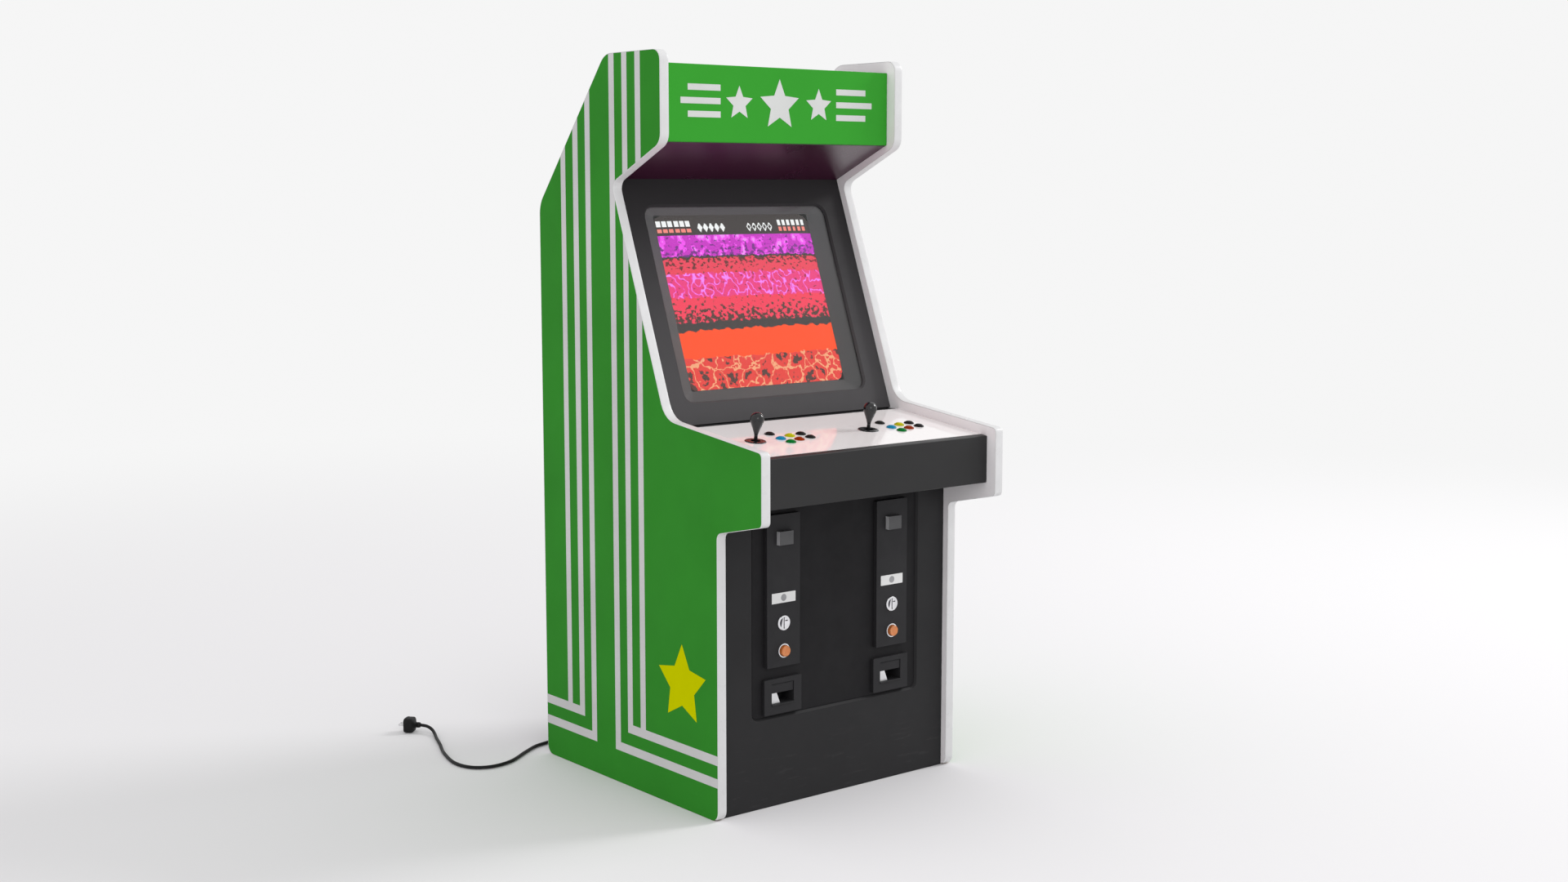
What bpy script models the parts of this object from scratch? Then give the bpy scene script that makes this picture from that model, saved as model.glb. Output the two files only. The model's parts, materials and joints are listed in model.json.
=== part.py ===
"""Upright two-player arcade cabinet, in metres.

+X is right as seen from the front, the front faces -Y, and +Z is up.

The origin is on the floor, midway across the width and the depth of the cabinet without its cord.
"""

import math

import bmesh
import bpy
import numpy as np
from mathutils import Matrix, Vector

for old in list(bpy.data.objects):
    bpy.data.objects.remove(old, do_unlink=True)

# ------------------------------------------------------------------ driving dimensions
HALF_W = 0.359  # half the overall width
PANEL_T = 0.024  # side panel thickness
IN_X = HALF_W - PANEL_T  # inner face of a side panel
FIT = 0.0003  # gap between pieces that touch
REAR_Y = 0.4297
KICK_Y = -0.2724  # front edge of the side panel at the kick panel
KICK_FACE = -0.2580  # front of the kick panel
PANEL_Y = -0.4297  # front edge of the side panel at the control panel
HOOD_Y = -0.0717  # front edge of the side panel at the marquee
TOP_Z = 1.700
# side panel outline, (y, z, corner radius)
OUTLINE = [
    (REAR_Y, 0.0, 0.022),
    (KICK_Y, 0.0, 0.022),
    (KICK_Y, 0.6507, 0.018),
    (PANEL_Y, 0.6854, 0.011),
    (PANEL_Y, 0.8422, 0.011),
    (-0.0813, 0.8824, 0.062),
    (0.1215, 1.4088, 0.024),
    (HOOD_Y, 1.4978, 0.032),
    (HOOD_Y, TOP_Z, 0.024),
    (0.1437, TOP_Z, 0.050),
    (REAR_Y, 1.3582, 0.060),
]
TRIM_GAP = 0.0002
TRIM_T = 0.0014
TRIM_SIDE = 1.0  # the moulding's thickness lies outside the ribbon

PANEL_SLOPE = math.radians(6.865)
PANEL_FRONT = Vector((0.0, -0.3829, 0.82656))  # control panel's top surface at its front end
PANEL_REAR_Y = -0.0955

BEZEL_FOOT = Vector((0.0, -0.0655, 0.8618))  # foot of the bezel's face
BEZEL_TILT = math.radians(20.43)
OPEN_U = 0.271  # half width of the bezel opening
OPEN_V = (0.0546, 0.5270)
SCREEN_U = 0.2318
SCREEN_V = (0.0852, 0.5135)

DOOR_X = 0.2463  # half width of the coin door
DOOR_Z = (0.2092, 0.6913)
DOOR_Y = -0.2525
COLUMN_X = 0.1638  # coin column centre lines

STICKS = {"left": -0.2367, "right": 0.0954}
STICK_Y = -0.2548
PIVOT_H = -0.028  # the stick's pivot, below the panel's surface
BORE_R = 0.0115  # lets the shaft tilt 8 degrees each way on both axes at once
# button centres measured from the joystick, (dx, y)
BUTTONS = {
    "start_button": (0.0750, -0.2105),
    "button_1": (0.0714, -0.2556),
    "button_2": (0.1098, -0.2400),
    "button_3": (0.1464, -0.2340),
    "button_4": (0.0736, -0.2885),
    "button_5": (0.1089, -0.2752),
    "button_6": (0.1471, -0.2675),
}
COLOURS = {
    "start_button": (0.02, 0.02, 0.02),
    "button_1": (0.02, 0.24, 0.50),
    "button_2": (0.62, 0.50, 0.01),
    "button_3": (0.02, 0.02, 0.02),
    "button_4": (0.00, 0.25, 0.06),
    "button_5": (0.50, 0.05, 0.01),
    "button_6": (0.02, 0.02, 0.02),
}

CORD_R = 0.0041
CORD_Z = 0.0045
CORD_EXIT = Vector((-0.200, 0.4147, 0.085))
CORD_KNOTS = [
    (-0.2000, 0.4000, 0.0850),
    (-0.2000, 0.4300, 0.0850),
    (-0.2000, 0.4570, 0.0848),
    (-0.2030, 0.4830, 0.0750),
    (-0.2140, 0.5040, 0.0500),
    (-0.2350, 0.5130, 0.0240),
    (-0.2620, 0.5120, 0.0080),
    (-0.2920, 0.5030, CORD_Z),
    (-0.3250, 0.4935, CORD_Z),
    (-0.3620, 0.4835, CORD_Z),
    (-0.4091, 0.4558, CORD_Z),
    (-0.4827, 0.4085, CORD_Z),
    (-0.5385, 0.4000, CORD_Z),
    (-0.5770, 0.4210, CORD_Z),
    (-0.5940, 0.4720, CORD_Z),
    (-0.5740, 0.5700, CORD_Z),
    (-0.5420, 0.6500, CORD_Z),
    (-0.5210, 0.7060, CORD_Z),
    (-0.5080, 0.7400, 0.0070),
    (-0.5040, 0.7600, 0.0120),
    (-0.5080, 0.7790, 0.0170),
    (-0.5190, 0.7930, 0.0190),
]


# ------------------------------------------------------------------ helpers
parts = bpy.data.collections.new("arcade_cabinet")
cutters = bpy.data.collections.new("cutters")
cutters.hide_render = True
for group in (parts, cutters):
    bpy.context.scene.collection.children.link(group)


def material(name, colour, roughness=0.5, metallic=0.0, alpha=1.0):
    mat = bpy.data.materials.new(name)
    mat.use_nodes = True
    shader = mat.node_tree.nodes["Principled BSDF"]
    shader.inputs["Base Color"].default_value = (*colour, 1.0)
    shader.inputs["Roughness"].default_value = roughness
    shader.inputs["Metallic"].default_value = metallic
    shader.inputs["Alpha"].default_value = alpha
    mat.diffuse_color = (*colour, alpha)
    return mat


def finish_object(name, work, mat, place):
    """Turn a bmesh into an object: a part if it has a material, otherwise a hidden cutter or joined piece."""
    mesh = bpy.data.meshes.new(name)
    work.to_mesh(mesh)
    work.free()
    obj = bpy.data.objects.new(name, mesh)
    if mat is None:
        cutters.objects.link(obj)
        obj.hide_render = True
        obj.display_type = "WIRE"
    else:
        mesh.materials.append(mat)
        parts.objects.link(obj)
    if place is not None:
        obj.matrix_world = place
    return obj


def blocks(name, spans, mat=None, place=None):
    """Separate boxes in one mesh, each from a (low, high) pair of corners."""
    work = bmesh.new()
    for low, high in spans:
        low = Vector(low)
        high = Vector(high)
        size = Matrix.Diagonal((*(high - low), 1.0))
        bmesh.ops.create_cube(work, size=1.0, matrix=Matrix.Translation((low + high) / 2) @ size)
    return finish_object(name, work, mat, place)


def box(name, low, high, mat=None, place=None, bevel=0.0):
    obj = blocks(name, [(low, high)], mat, place)
    if bevel:
        soften(obj, bevel)
    return obj


def cylinders(name, centres, radius, low, high, steps, mat=None, place=None, top_radius=None):
    """Upright cylinders, or cones cut short, in one mesh."""
    work = bmesh.new()
    for x, y in centres:
        bmesh.ops.create_cone(
            work,
            cap_ends=True,
            segments=steps,
            radius1=radius,
            radius2=top_radius or radius,
            depth=high - low,
            matrix=Matrix.Translation((x, y, (low + high) / 2)),
        )
    return finish_object(name, work, mat, place)


def turned(name, profile, steps, mat=None, place=None):
    """A solid turned about Z. Its (radius, height) points run down the outer side from axis to axis."""
    work = bmesh.new()
    verts = [work.verts.new((radius, 0.0, height)) for radius, height in profile]
    for a, b in zip(verts, verts[1:]):
        work.edges.new((a, b))
    obj = finish_object(name, work, mat, place)
    screw = obj.modifiers.new("turn", "SCREW")
    screw.steps = steps
    screw.render_steps = steps
    screw.use_merge_vertices = True
    screw.merge_threshold = 0.00001
    return obj


def rounded(outline, segments):
    """Corner arcs of an outline of (a, b, radius): points with their outward normals and corner numbers."""
    corners = [np.array(corner[:2], float) for corner in outline]
    area = sum(a[0] * b[1] - b[0] * a[1] for a, b in zip(corners, corners[1:] + corners[:1]))
    side = 1.0 if area > 0 else -1.0
    result = []
    for i, (a, b, radius) in enumerate(outline):
        here = np.array((a, b), float)
        before = corners[i - 1] - here
        after = corners[(i + 1) % len(corners)] - here
        before /= np.linalg.norm(before)
        after /= np.linalg.norm(after)
        half = math.acos(max(-1.0, min(1.0, before @ after))) / 2
        turn = side * np.sign(before[1] * after[0] - before[0] * after[1])
        centre = here + (before + after) / np.linalg.norm(before + after) * radius / math.sin(half)
        first = here + before * radius / math.tan(half) - centre
        last = here + after * radius / math.tan(half) - centre
        sweep = math.atan2(first[0] * last[1] - first[1] * last[0], first @ last)
        for k in range(segments + 1):
            angle = sweep * k / segments
            turned_by = np.array(((math.cos(angle), -math.sin(angle)), (math.sin(angle), math.cos(angle))))
            spoke = turned_by @ first
            result.append((centre + spoke, turn * spoke / radius, i))
    return result


def oblong(half_a, b_span, radius, segments=4, centre=0.0):
    """Points of a rounded rectangle, half_a either side of the centre and b_span high."""
    low, high = b_span
    corners = [
        (centre + half_a, low, radius),
        (centre + half_a, high, radius),
        (centre - half_a, high, radius),
        (centre - half_a, low, radius),
    ]
    return [tuple(point) for point, _, _ in rounded(corners, segments)]


def plate(name, points, low, high, mat=None, place=None):
    """A flat outline in the local XY plane, filled and extruded from one height to another."""
    curve = bpy.data.curves.new(name, "CURVE")
    curve.dimensions = "2D"
    curve.fill_mode = "BOTH"
    curve.extrude = (high - low) / 2
    line = curve.splines.new("POLY")
    line.points.add(len(points) - 1)
    for point, (x, y) in zip(line.points, points):
        point.co = (x, y, 0.0, 1.0)
    line.use_cyclic_u = True
    guide = bpy.data.objects.new(name + "_outline", curve)
    cutters.objects.link(guide)
    filled = bpy.data.meshes.new_from_object(guide.evaluated_get(bpy.context.evaluated_depsgraph_get()))
    bpy.data.objects.remove(guide)
    work = bmesh.new()
    work.from_mesh(filled)
    bpy.data.meshes.remove(filled)
    bmesh.ops.remove_doubles(work, verts=work.verts, dist=0.00001)
    bmesh.ops.recalc_face_normals(work, faces=work.faces)
    bmesh.ops.translate(work, verts=work.verts, vec=(0.0, 0.0, (low + high) / 2))
    return finish_object(name, work, mat, place)


def loft(name, loops, mat=None, place=None, closed=False):
    """Skin through unlike loops of equal count; the end loops are capped unless the loft closes on itself."""
    work = bmesh.new()
    rows = [[work.verts.new(point) for point in loop] for loop in loops]
    pairs = list(zip(rows, rows[1:]))
    if closed:
        pairs.append((rows[-1], rows[0]))
    else:
        work.faces.new(rows[0])
        work.faces.new(rows[-1])
    for low, high in pairs:
        for k in range(len(low)):
            nxt = (k + 1) % len(low)
            work.faces.new((low[k], low[nxt], high[nxt], high[k]))
    bmesh.ops.recalc_face_normals(work, faces=work.faces)
    return finish_object(name, work, mat, place)


def boolean(target, cutter, operation):
    modifier = target.modifiers.new(operation.lower(), "BOOLEAN")
    modifier.operation = operation
    modifier.solver = "EXACT"
    modifier.object = cutter


def cut(target, cutter):
    boolean(target, cutter, "DIFFERENCE")


def join(target, piece):
    boolean(target, piece, "UNION")


def soften(target, width, segments=1):
    modifier = target.modifiers.new("soften", "BEVEL")
    modifier.width = width
    modifier.segments = segments
    modifier.limit_method = "ANGLE"
    modifier.angle_limit = math.radians(50)


def frame(origin, x_axis, y_axis, z_axis):
    """Matrix of a frame from its origin and axes."""
    axes = Matrix((x_axis, y_axis, z_axis)).transposed().to_4x4()
    return Matrix.Translation(origin) @ axes


def out_of_front(x, z, y=0.0):
    """Frame whose +Z points out of the cabinet's front."""
    return frame(Vector((x, y, z)), Vector((1, 0, 0)), Vector((0, 0, 1)), Vector((0, -1, 0)))


def along_x(origin):
    """Frame whose +Z points along the cabinet's +X, with local X and Y along +Y and +Z."""
    return frame(Vector(origin), Vector((0, 1, 0)), Vector((0, 0, 1)), Vector((1, 0, 0)))


def out_of_back(origin):
    """Frame whose +Z points out of the cabinet's back."""
    return frame(Vector(origin), Vector((1, 0, 0)), Vector((0, 0, -1)), Vector((0, 1, 0)))


FROM_SIDE = along_x((0.0, 0.0, 0.0))

# ------------------------------------------------------------------ side panels and their edge moulding
side_green = material("side_panel_green", (0.035, 0.200, 0.025), 0.45)
trim_grey = material("trim_grey", (0.62, 0.62, 0.64), 0.4)
side_edge = rounded(OUTLINE, 5)
REAR_FOOT = 0
FRONT_FOOT = 1
# the moulding runs from the front foot's arc, up the front and over the back, to the rear foot's arc
front_foot = [item for item in side_edge if item[2] == FRONT_FOOT][2:]
rear_foot = [item for item in side_edge if item[2] == REAR_FOOT][:-2]
between = [item for item in side_edge if item[2] not in (FRONT_FOOT, REAR_FOOT)]
trim_run = front_foot + between + rear_foot
for side, sign in (("left", -1), ("right", 1)):
    low, high = sorted((sign * HALF_W, sign * IN_X))
    plate(side + "_side_panel", [tuple(point) for point, _, _ in side_edge], low, high, side_green, FROM_SIDE)
    ribbon = bmesh.new()
    verts = [ribbon.verts.new((low, *(point + normal * TRIM_GAP))) for point, normal, _ in trim_run]
    edges = [ribbon.edges.new(pair) for pair in zip(verts, verts[1:])]
    extruded = bmesh.ops.extrude_edge_only(ribbon, edges=edges)["geom"]
    moved = [item for item in extruded if isinstance(item, bmesh.types.BMVert)]
    bmesh.ops.translate(ribbon, verts=moved, vec=(high - low, 0.0, 0.0))
    moulding = finish_object(side + "_t_moulding", ribbon, trim_grey, None)
    solid = moulding.modifiers.new("thickness", "SOLIDIFY")
    solid.thickness = TRIM_T
    solid.offset = TRIM_SIDE
    solid.use_even_offset = True

# ------------------------------------------------------------------ boards between the side panels
BOARD_X = IN_X - FIT
BOARD_T = 0.018
black_board = material("black_board", (0.030, 0.030, 0.032), 0.5)
raw_board = material("raw_board", (0.30, 0.21, 0.13), 0.7)

# kick panel, its recess bevelled towards the front
kick = box("kick_panel", (-BOARD_X, KICK_FACE, 0.0), (BOARD_X, KICK_FACE + BOARD_T, 0.7129), black_board)
RECESS_X = 0.2470
RECESS_Z = (0.2085, 0.6920)
RECESS_SLANT = 0.0078
# (y, how much wider than the recess's inner edge)
recess_steps = [(KICK_FACE - 0.0040, RECESS_SLANT), (DOOR_Y, 0.0), (KICK_FACE + 0.0280, 0.0)]
recess_loops = [
    [
        (x, y, z)
        for x, z in oblong(RECESS_X + wider, (RECESS_Z[0] - wider, RECESS_Z[1] + wider), 0.0120 + wider)
    ]
    for y, wider in recess_steps
]
cut(kick, loft("recess_cutter", recess_loops))

box("bottom_board", (-BOARD_X, -0.2397, 0.040), (BOARD_X, 0.3964, 0.058), raw_board)
box("top_board", (-BOARD_X, -0.0395, 1.6535), (BOARD_X, 0.1340, 1.6715), black_board)

# marquee: a green sheet held in front of the hood
marquee_green = material("marquee_green", (0.055, 0.330, 0.035), 0.35)
box("marquee_panel", (-BOARD_X, -0.0460, 1.5001), (BOARD_X, -0.0400, 1.6735), marquee_green, bevel=0.0015)

# sloping board under the hood, its back end cut to the bezel's slope
HOOD_FALL = 0.4448
HOOD_FRONT_Y = -0.0397
HOOD_BACK_Y = 0.1412
HOOD_T = 0.0127


def hood_z(y):
    return 1.5007 - (y + 0.0438) * HOOD_FALL


hood_points = [
    (HOOD_FRONT_Y, hood_z(HOOD_FRONT_Y)),
    (HOOD_BACK_Y, hood_z(HOOD_BACK_Y)),
    (HOOD_BACK_Y + HOOD_T * math.sin(BEZEL_TILT), hood_z(HOOD_BACK_Y) + HOOD_T * math.cos(BEZEL_TILT)),
    (HOOD_FRONT_Y, hood_z(HOOD_FRONT_Y) + HOOD_T),
]
hood_black = material("hood_black", (0.020, 0.020, 0.021), 0.4)
plate("hood_panel", hood_points, -BOARD_X, BOARD_X, hood_black, FROM_SIDE)

# rear panel with the service door's opening and the cord's hole
REAR_FACE = CORD_EXIT.y
rear = box("rear_panel", (-BOARD_X, REAR_FACE - BOARD_T, 0.0200), (BOARD_X, REAR_FACE, 1.3400), black_board)
cut(rear, box("rear_door_cutter", (-0.2500, 0.3900, 0.1600), (0.2500, 0.4200, 0.9800)))
cut(rear, cylinders("cord_hole_cutter", [(0.0, 0.0)], 0.0095, -0.03, 0.01, 16, place=out_of_back(CORD_EXIT)))

# service door, turning on its outer edge
rear_hinge = Vector((-0.2496, REAR_FACE + FIT, 0.0))
door = box(
    "rear_door",
    Vector((-0.2492, REAR_FACE - BOARD_T, 0.1608)) - rear_hinge,
    Vector((0.2492, REAR_FACE, 0.9792)) - rear_hinge,
    black_board,
    Matrix.Translation(rear_hinge),
)
slots = [((-0.15, 0.38, z), (0.15, 0.43, z + 0.008)) for z in (0.84, 0.865, 0.89, 0.915)]
cut(door, blocks("door_vent_cutter", slots))

# sloping rear panel, set in from the side panels' edge
slope_from = Vector((REAR_Y, 1.3582))
slope_dir = (Vector((0.1437, TOP_Z)) - slope_from).normalized()
slope_in = Vector((-slope_dir.y, slope_dir.x))
slope_points = [
    tuple(slope_from + slope_dir * along + slope_in * into)
    for along, into in ((0.012, 0.015), (0.425, 0.015), (0.425, 0.027), (0.012, 0.027))
]
slope = plate("rear_slope_panel", slope_points, -BOARD_X, BOARD_X, black_board, FROM_SIDE)
slope_origin = Vector((0.0, *(slope_from + slope_in * 0.021)))
slope_place = frame(slope_origin, Vector((1, 0, 0)), Vector((0.0, *slope_dir)), Vector((0.0, *slope_in)))
slots = [((-0.16, v, -0.02), (0.16, v + 0.008, 0.02)) for v in (0.16, 0.19, 0.22, 0.25)]
cut(slope, blocks("slope_vent_cutter", slots, place=slope_place))

# ------------------------------------------------------------------ control panel
PANEL_UP = Vector((0.0, -math.sin(PANEL_SLOPE), math.cos(PANEL_SLOPE)))
PANEL_BACK = Vector((0.0, math.cos(PANEL_SLOPE), math.sin(PANEL_SLOPE)))


def panel_z(y):
    return PANEL_FRONT.z + (y - PANEL_FRONT.y) * math.tan(PANEL_SLOPE)


def on_panel(x, y, height=0.0):
    """Frame on the control panel: +Z out of its surface, +Y up its slope."""
    origin = Vector((x, y, panel_z(y))) + PANEL_UP * height
    return frame(origin, Vector((1, 0, 0)), PANEL_BACK, PANEL_UP)


drop = BOARD_T / math.cos(PANEL_SLOPE)
panel_points = [
    (PANEL_FRONT.y, panel_z(PANEL_FRONT.y) - drop),
    (PANEL_REAR_Y, panel_z(PANEL_REAR_Y) - drop),
    (PANEL_REAR_Y, panel_z(PANEL_REAR_Y)),
    (PANEL_FRONT.y, panel_z(PANEL_FRONT.y)),
]
panel_white = material("panel_white", (0.70, 0.68, 0.68), 0.15)
panel = plate("control_panel_top", panel_points, -BOARD_X, BOARD_X, panel_white, FROM_SIDE)

panel_place = on_panel(0.0, STICK_Y)
panel_inverse = panel_place.inverted()


def spot(x, y):
    """Where a point of the panel's surface lies in the panel's frame."""
    return tuple((panel_inverse @ Vector((x, y, panel_z(y)))).xy)


button_spots = {
    side: {name: spot(x + dx, y) for name, (dx, y) in BUTTONS.items()} for side, x in STICKS.items()
}
all_spots = [centre for group in button_spots.values() for centre in group.values()]
stick_spots = [spot(x, STICK_Y) for x in STICKS.values()]
cut(panel, cylinders("button_hole_cutter", all_spots, 0.0104, -0.04, 0.02, 16, place=panel_place))
cut(panel, cylinders("stick_hole_cutter", stick_spots, 0.0144, -0.04, 0.02, 24, place=panel_place))

FRONT_FACE = -0.4030
FRONT_BACK = PANEL_FRONT.y - FIT
front_points = [
    (FRONT_FACE, 0.7132),
    (FRONT_BACK, 0.7132),
    (FRONT_BACK, panel_z(FRONT_BACK)),
    (FRONT_FACE, panel_z(FRONT_FACE)),
]
soften(plate("control_panel_front", front_points, -BOARD_X, BOARD_X, black_board, FROM_SIDE), 0.0012)
box("control_panel_bottom", (-BOARD_X, PANEL_FRONT.y, 0.7132), (BOARD_X, -0.2403, 0.7282), black_board)
box("bezel_rail", (-BOARD_X, -0.0950, 0.8400), (BOARD_X, -0.0560, 0.8600), black_board)

# ------------------------------------------------------------------ monitor
BEZEL_ALONG = Vector((0.0, math.sin(BEZEL_TILT), math.cos(BEZEL_TILT)))
BEZEL_INTO = Vector((0.0, math.cos(BEZEL_TILT), -math.sin(BEZEL_TILT)))
# u runs across, v up the slope and w into the cabinet
bezel_place = frame(BEZEL_FOOT, Vector((-1, 0, 0)), BEZEL_ALONG, BEZEL_INTO)


def ring(half_u, v_span, radius, w, segments=4):
    return [(u, v, w) for u, v in oblong(half_u, v_span, radius, segments)]


bezel_grey = material("bezel_grey", (0.070, 0.068, 0.069), 0.5)
bezel = box("monitor_bezel", (-BOARD_X, 0.0010, 0.0), (BOARD_X, 0.6120, 0.0060), bezel_grey, bezel_place)
# the opening's edge is bevelled towards the front
CHAMFER = 0.0048
opening = [
    ring(OPEN_U + wider, (OPEN_V[0] - wider, OPEN_V[1] + wider), 0.026 + wider, w)
    for w, wider in ((-0.0052, 2 * CHAMFER), (0.0048, 0.0), (0.0200, 0.0))
]
cut(bezel, loft("bezel_cutter", opening, place=bezel_place))

glass = material("screen_glass", (0.60, 0.62, 0.62), 0.05, alpha=0.3)
box("screen_glass", (-0.286, 0.0390, 0.0063), (0.286, 0.5420, 0.0093), glass, bezel_place)

# sheet mask, sloping back from a flange behind the glass to the picture's edge
MASK_T = 0.0018
mask_front = [
    ring(0.2860, (0.0390, 0.5420), 0.010, 0.0096),
    ring(0.2720, (0.0524, 0.5280), 0.028, 0.0096),
    ring(SCREEN_U, SCREEN_V, 0.004, 0.0270),
]
mask_back = [
    ring(SCREEN_U + 0.0020, (SCREEN_V[0] - 0.0020, SCREEN_V[1] + 0.0020), 0.005, 0.0285),
    ring(0.2735, (0.0509, 0.5295), 0.028, 0.0096 + MASK_T),
    ring(0.2860, (0.0390, 0.5420), 0.010, 0.0096 + MASK_T),
]
mask_grey = material("mask_grey", (0.11, 0.108, 0.108), 0.55)
loft("screen_mask", mask_front + mask_back, mask_grey, bezel_place, closed=True)

# picture tube: a glass shell, open at the end of its neck
MID_V = (SCREEN_V[0] + SCREEN_V[1]) / 2


def tube_ring(half_u, half_v, radius, w):
    return ring(half_u, (MID_V - half_v, MID_V + half_v), radius, w, 3)


tube_outside = [
    tube_ring(0.0900, 0.0830, 0.0400, 0.0205),
    tube_ring(0.1700, 0.1570, 0.0500, 0.0240),
    tube_ring(0.2430, 0.2240, 0.0200, 0.0292),
    tube_ring(0.2430, 0.2240, 0.0240, 0.0750),
    tube_ring(0.1750, 0.1620, 0.0700, 0.1550),
    tube_ring(0.0650, 0.0650, 0.0600, 0.2450),
    tube_ring(0.0190, 0.0190, 0.0180, 0.2850),
    tube_ring(0.0190, 0.0190, 0.0180, 0.3550),
]
tube_inside = [
    tube_ring(0.0130, 0.0130, 0.0120, 0.3550),
    tube_ring(0.0130, 0.0130, 0.0120, 0.2820),
    tube_ring(0.0590, 0.0590, 0.0540, 0.2400),
    tube_ring(0.1690, 0.1560, 0.0640, 0.1510),
    tube_ring(0.2370, 0.2180, 0.0180, 0.0750),
    tube_ring(0.2370, 0.2180, 0.0180, 0.0380),
    tube_ring(0.1650, 0.1520, 0.0450, 0.0330),
    tube_ring(0.0880, 0.0810, 0.0380, 0.0295),
]
tube_glass = material("tube_glass", (0.05, 0.05, 0.055), 0.2)
tube = loft("picture_tube", tube_outside + tube_inside, tube_glass, bezel_place)
straps = [
    ((low, v, 0.040), (high, v + 0.030, 0.052))
    for low, high in ((0.2390, BOARD_X), (-BOARD_X, -0.2390))
    for v in (0.115, 0.455)
]
join(tube, blocks("strap_piece", straps, place=bezel_place))

# ------------------------------------------------------------------ coin door
door_black = material("door_black", (0.022, 0.022, 0.023), 0.4)
plate_black = material("plate_black", (0.038, 0.038, 0.040), 0.4)
chrome = material("chrome", (0.80, 0.80, 0.82), 0.1, 1.0)
orange = material("reject_orange", (0.65, 0.22, 0.06), 0.35)
DOOR_T = 0.0030
PLATE_BACK = DOOR_Y - FIT
coin_hinge = Vector((-DOOR_X - FIT, DOOR_Y, 0.0))
leaf_place = frame(coin_hinge, Vector((1, 0, 0)), Vector((0, 0, 1)), Vector((0, -1, 0)))
leaf_points = oblong(DOOR_X, DOOR_Z, 0.0113, centre=-coin_hinge.x)
leaf = plate("coin_door", leaf_points, -DOOR_T, 0.0, door_black, leaf_place)
MECH_X = 0.0300  # half width of the mechanism behind the door
CUP_X = 0.0360  # half width of the return cup
leaf_holes = []
for x in (-COLUMN_X, COLUMN_X):
    leaf_holes.append(((x - MECH_X - 0.0005, -0.27, 0.3795), (x + MECH_X + 0.0005, -0.23, 0.6005)))
    leaf_holes.append(((x - CUP_X - 0.0006, -0.27, 0.2294), (x + CUP_X + 0.0006, -0.23, 0.2911)))
cut(leaf, blocks("door_hole_cutter", leaf_holes))

MECH_FACE = -0.2635
RETURN_FACE = -0.2616
BUTTON_Z = 0.3600
SLOT_Z = 0.4240
AXIS = [(0.0, 0.0)]
for side, x in (("left", -COLUMN_X), ("right", COLUMN_X)):
    # tall plate, with the block and the button's collar on it and the mechanism behind it
    low, high = (x - 0.0477, MECH_FACE, 0.3235), (x + 0.0477, PLATE_BACK, 0.6730)
    mech = box(side + "_coin_mech", low, high, plate_black, bevel=0.0015)
    join(mech, box(side + "_mech_piece", (x - MECH_X, -0.2580, 0.380), (x + MECH_X, -0.1950, 0.600)))
    low, high = (x - 0.0198, -0.2750, 0.6040), (x + 0.0198, -0.2600, 0.6355)
    join(mech, box(side + "_block_piece", low, high, bevel=0.0010))
    at_button = out_of_front(x, BUTTON_Z, MECH_FACE)
    join(mech, cylinders(side + "_collar_piece", AXIS, 0.0165, -0.004, 0.0028, 20, place=at_button))
    cut(mech, cylinders(side + "_button_cutter", AXIS, 0.0132, -0.0100, 0.0200, 20, place=at_button))
    at_slot = out_of_front(x, SLOT_Z, MECH_FACE)
    cut(mech, cylinders(side + "_slot_cutter", AXIS, 0.0150, -0.0075, 0.0200, 20, place=at_slot))

    # round coin entry with its upright slot
    entry = [
        (0.0, 0.0018),
        (0.0125, 0.0018),
        (0.0135, 0.0026),
        (0.0163, 0.0026),
        (0.0175, 0.0014),
        (0.0175, FIT),
        (0.0146, FIT),
        (0.0146, -0.0070),
        (0.0, -0.0070),
    ]
    slot = turned(side + "_coin_slot", entry, 20, chrome, at_slot)
    low, high = (x - 0.0013, -0.28, SLOT_Z - 0.0132), (x + 0.0013, -0.25, SLOT_Z + 0.0132)
    cut(slot, box(side + "_coin_cutter", low, high))

    reject = [(0.0, 0.0105), (0.0120, 0.0095), (0.0128, 0.0082), (0.0128, -0.0045), (0.0, -0.0045)]
    turned(side + "_reject_button", reject, 20, orange, at_button)

    # coin return: plate, cup, sill, and a flap hanging on a pin over the top of the opening
    low, high = (x - 0.0540, RETURN_FACE, 0.2148), (x + 0.0540, PLATE_BACK, 0.2970)
    cup = box(side + "_coin_return", low, high, plate_black, bevel=0.0015)
    join(cup, box(side + "_cup_piece", (x - CUP_X, -0.2560, 0.2300), (x + CUP_X, -0.2130, 0.2905)))
    join(cup, box(side + "_sill_piece", (x - 0.0330, -0.2640, 0.2352), (x + 0.0330, -0.2590, 0.2382)))
    cut(cup, box(side + "_cup_cutter", (x - 0.0325, -0.2800, 0.2385), (x + 0.0315, -0.2150, 0.2852)))
    flap_pin = along_x((x - 0.0005, -0.2590, 0.2830))
    cut(cup, cylinders(side + "_pin_hole_cutter", AXIS, 0.0016, -0.0345, 0.0345, 10, place=flap_pin))
    low, high = (-0.0008, -0.0193, -0.0312), (0.0008, 0.0004, 0.0312)
    flap = box(side + "_return_flap", low, high, plate_black, flap_pin)
    join(flap, cylinders(side + "_flap_pin_piece", AXIS, 0.0012, -0.0338, 0.0338, 10, place=flap_pin))

# ------------------------------------------------------------------ joysticks
stick_black = material("stick_black", (0.018, 0.018, 0.019), 0.2)
base_black = material("base_black", (0.025, 0.025, 0.027), 0.3)
steel = material("steel", (0.45, 0.45, 0.46), 0.35, 1.0)
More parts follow.
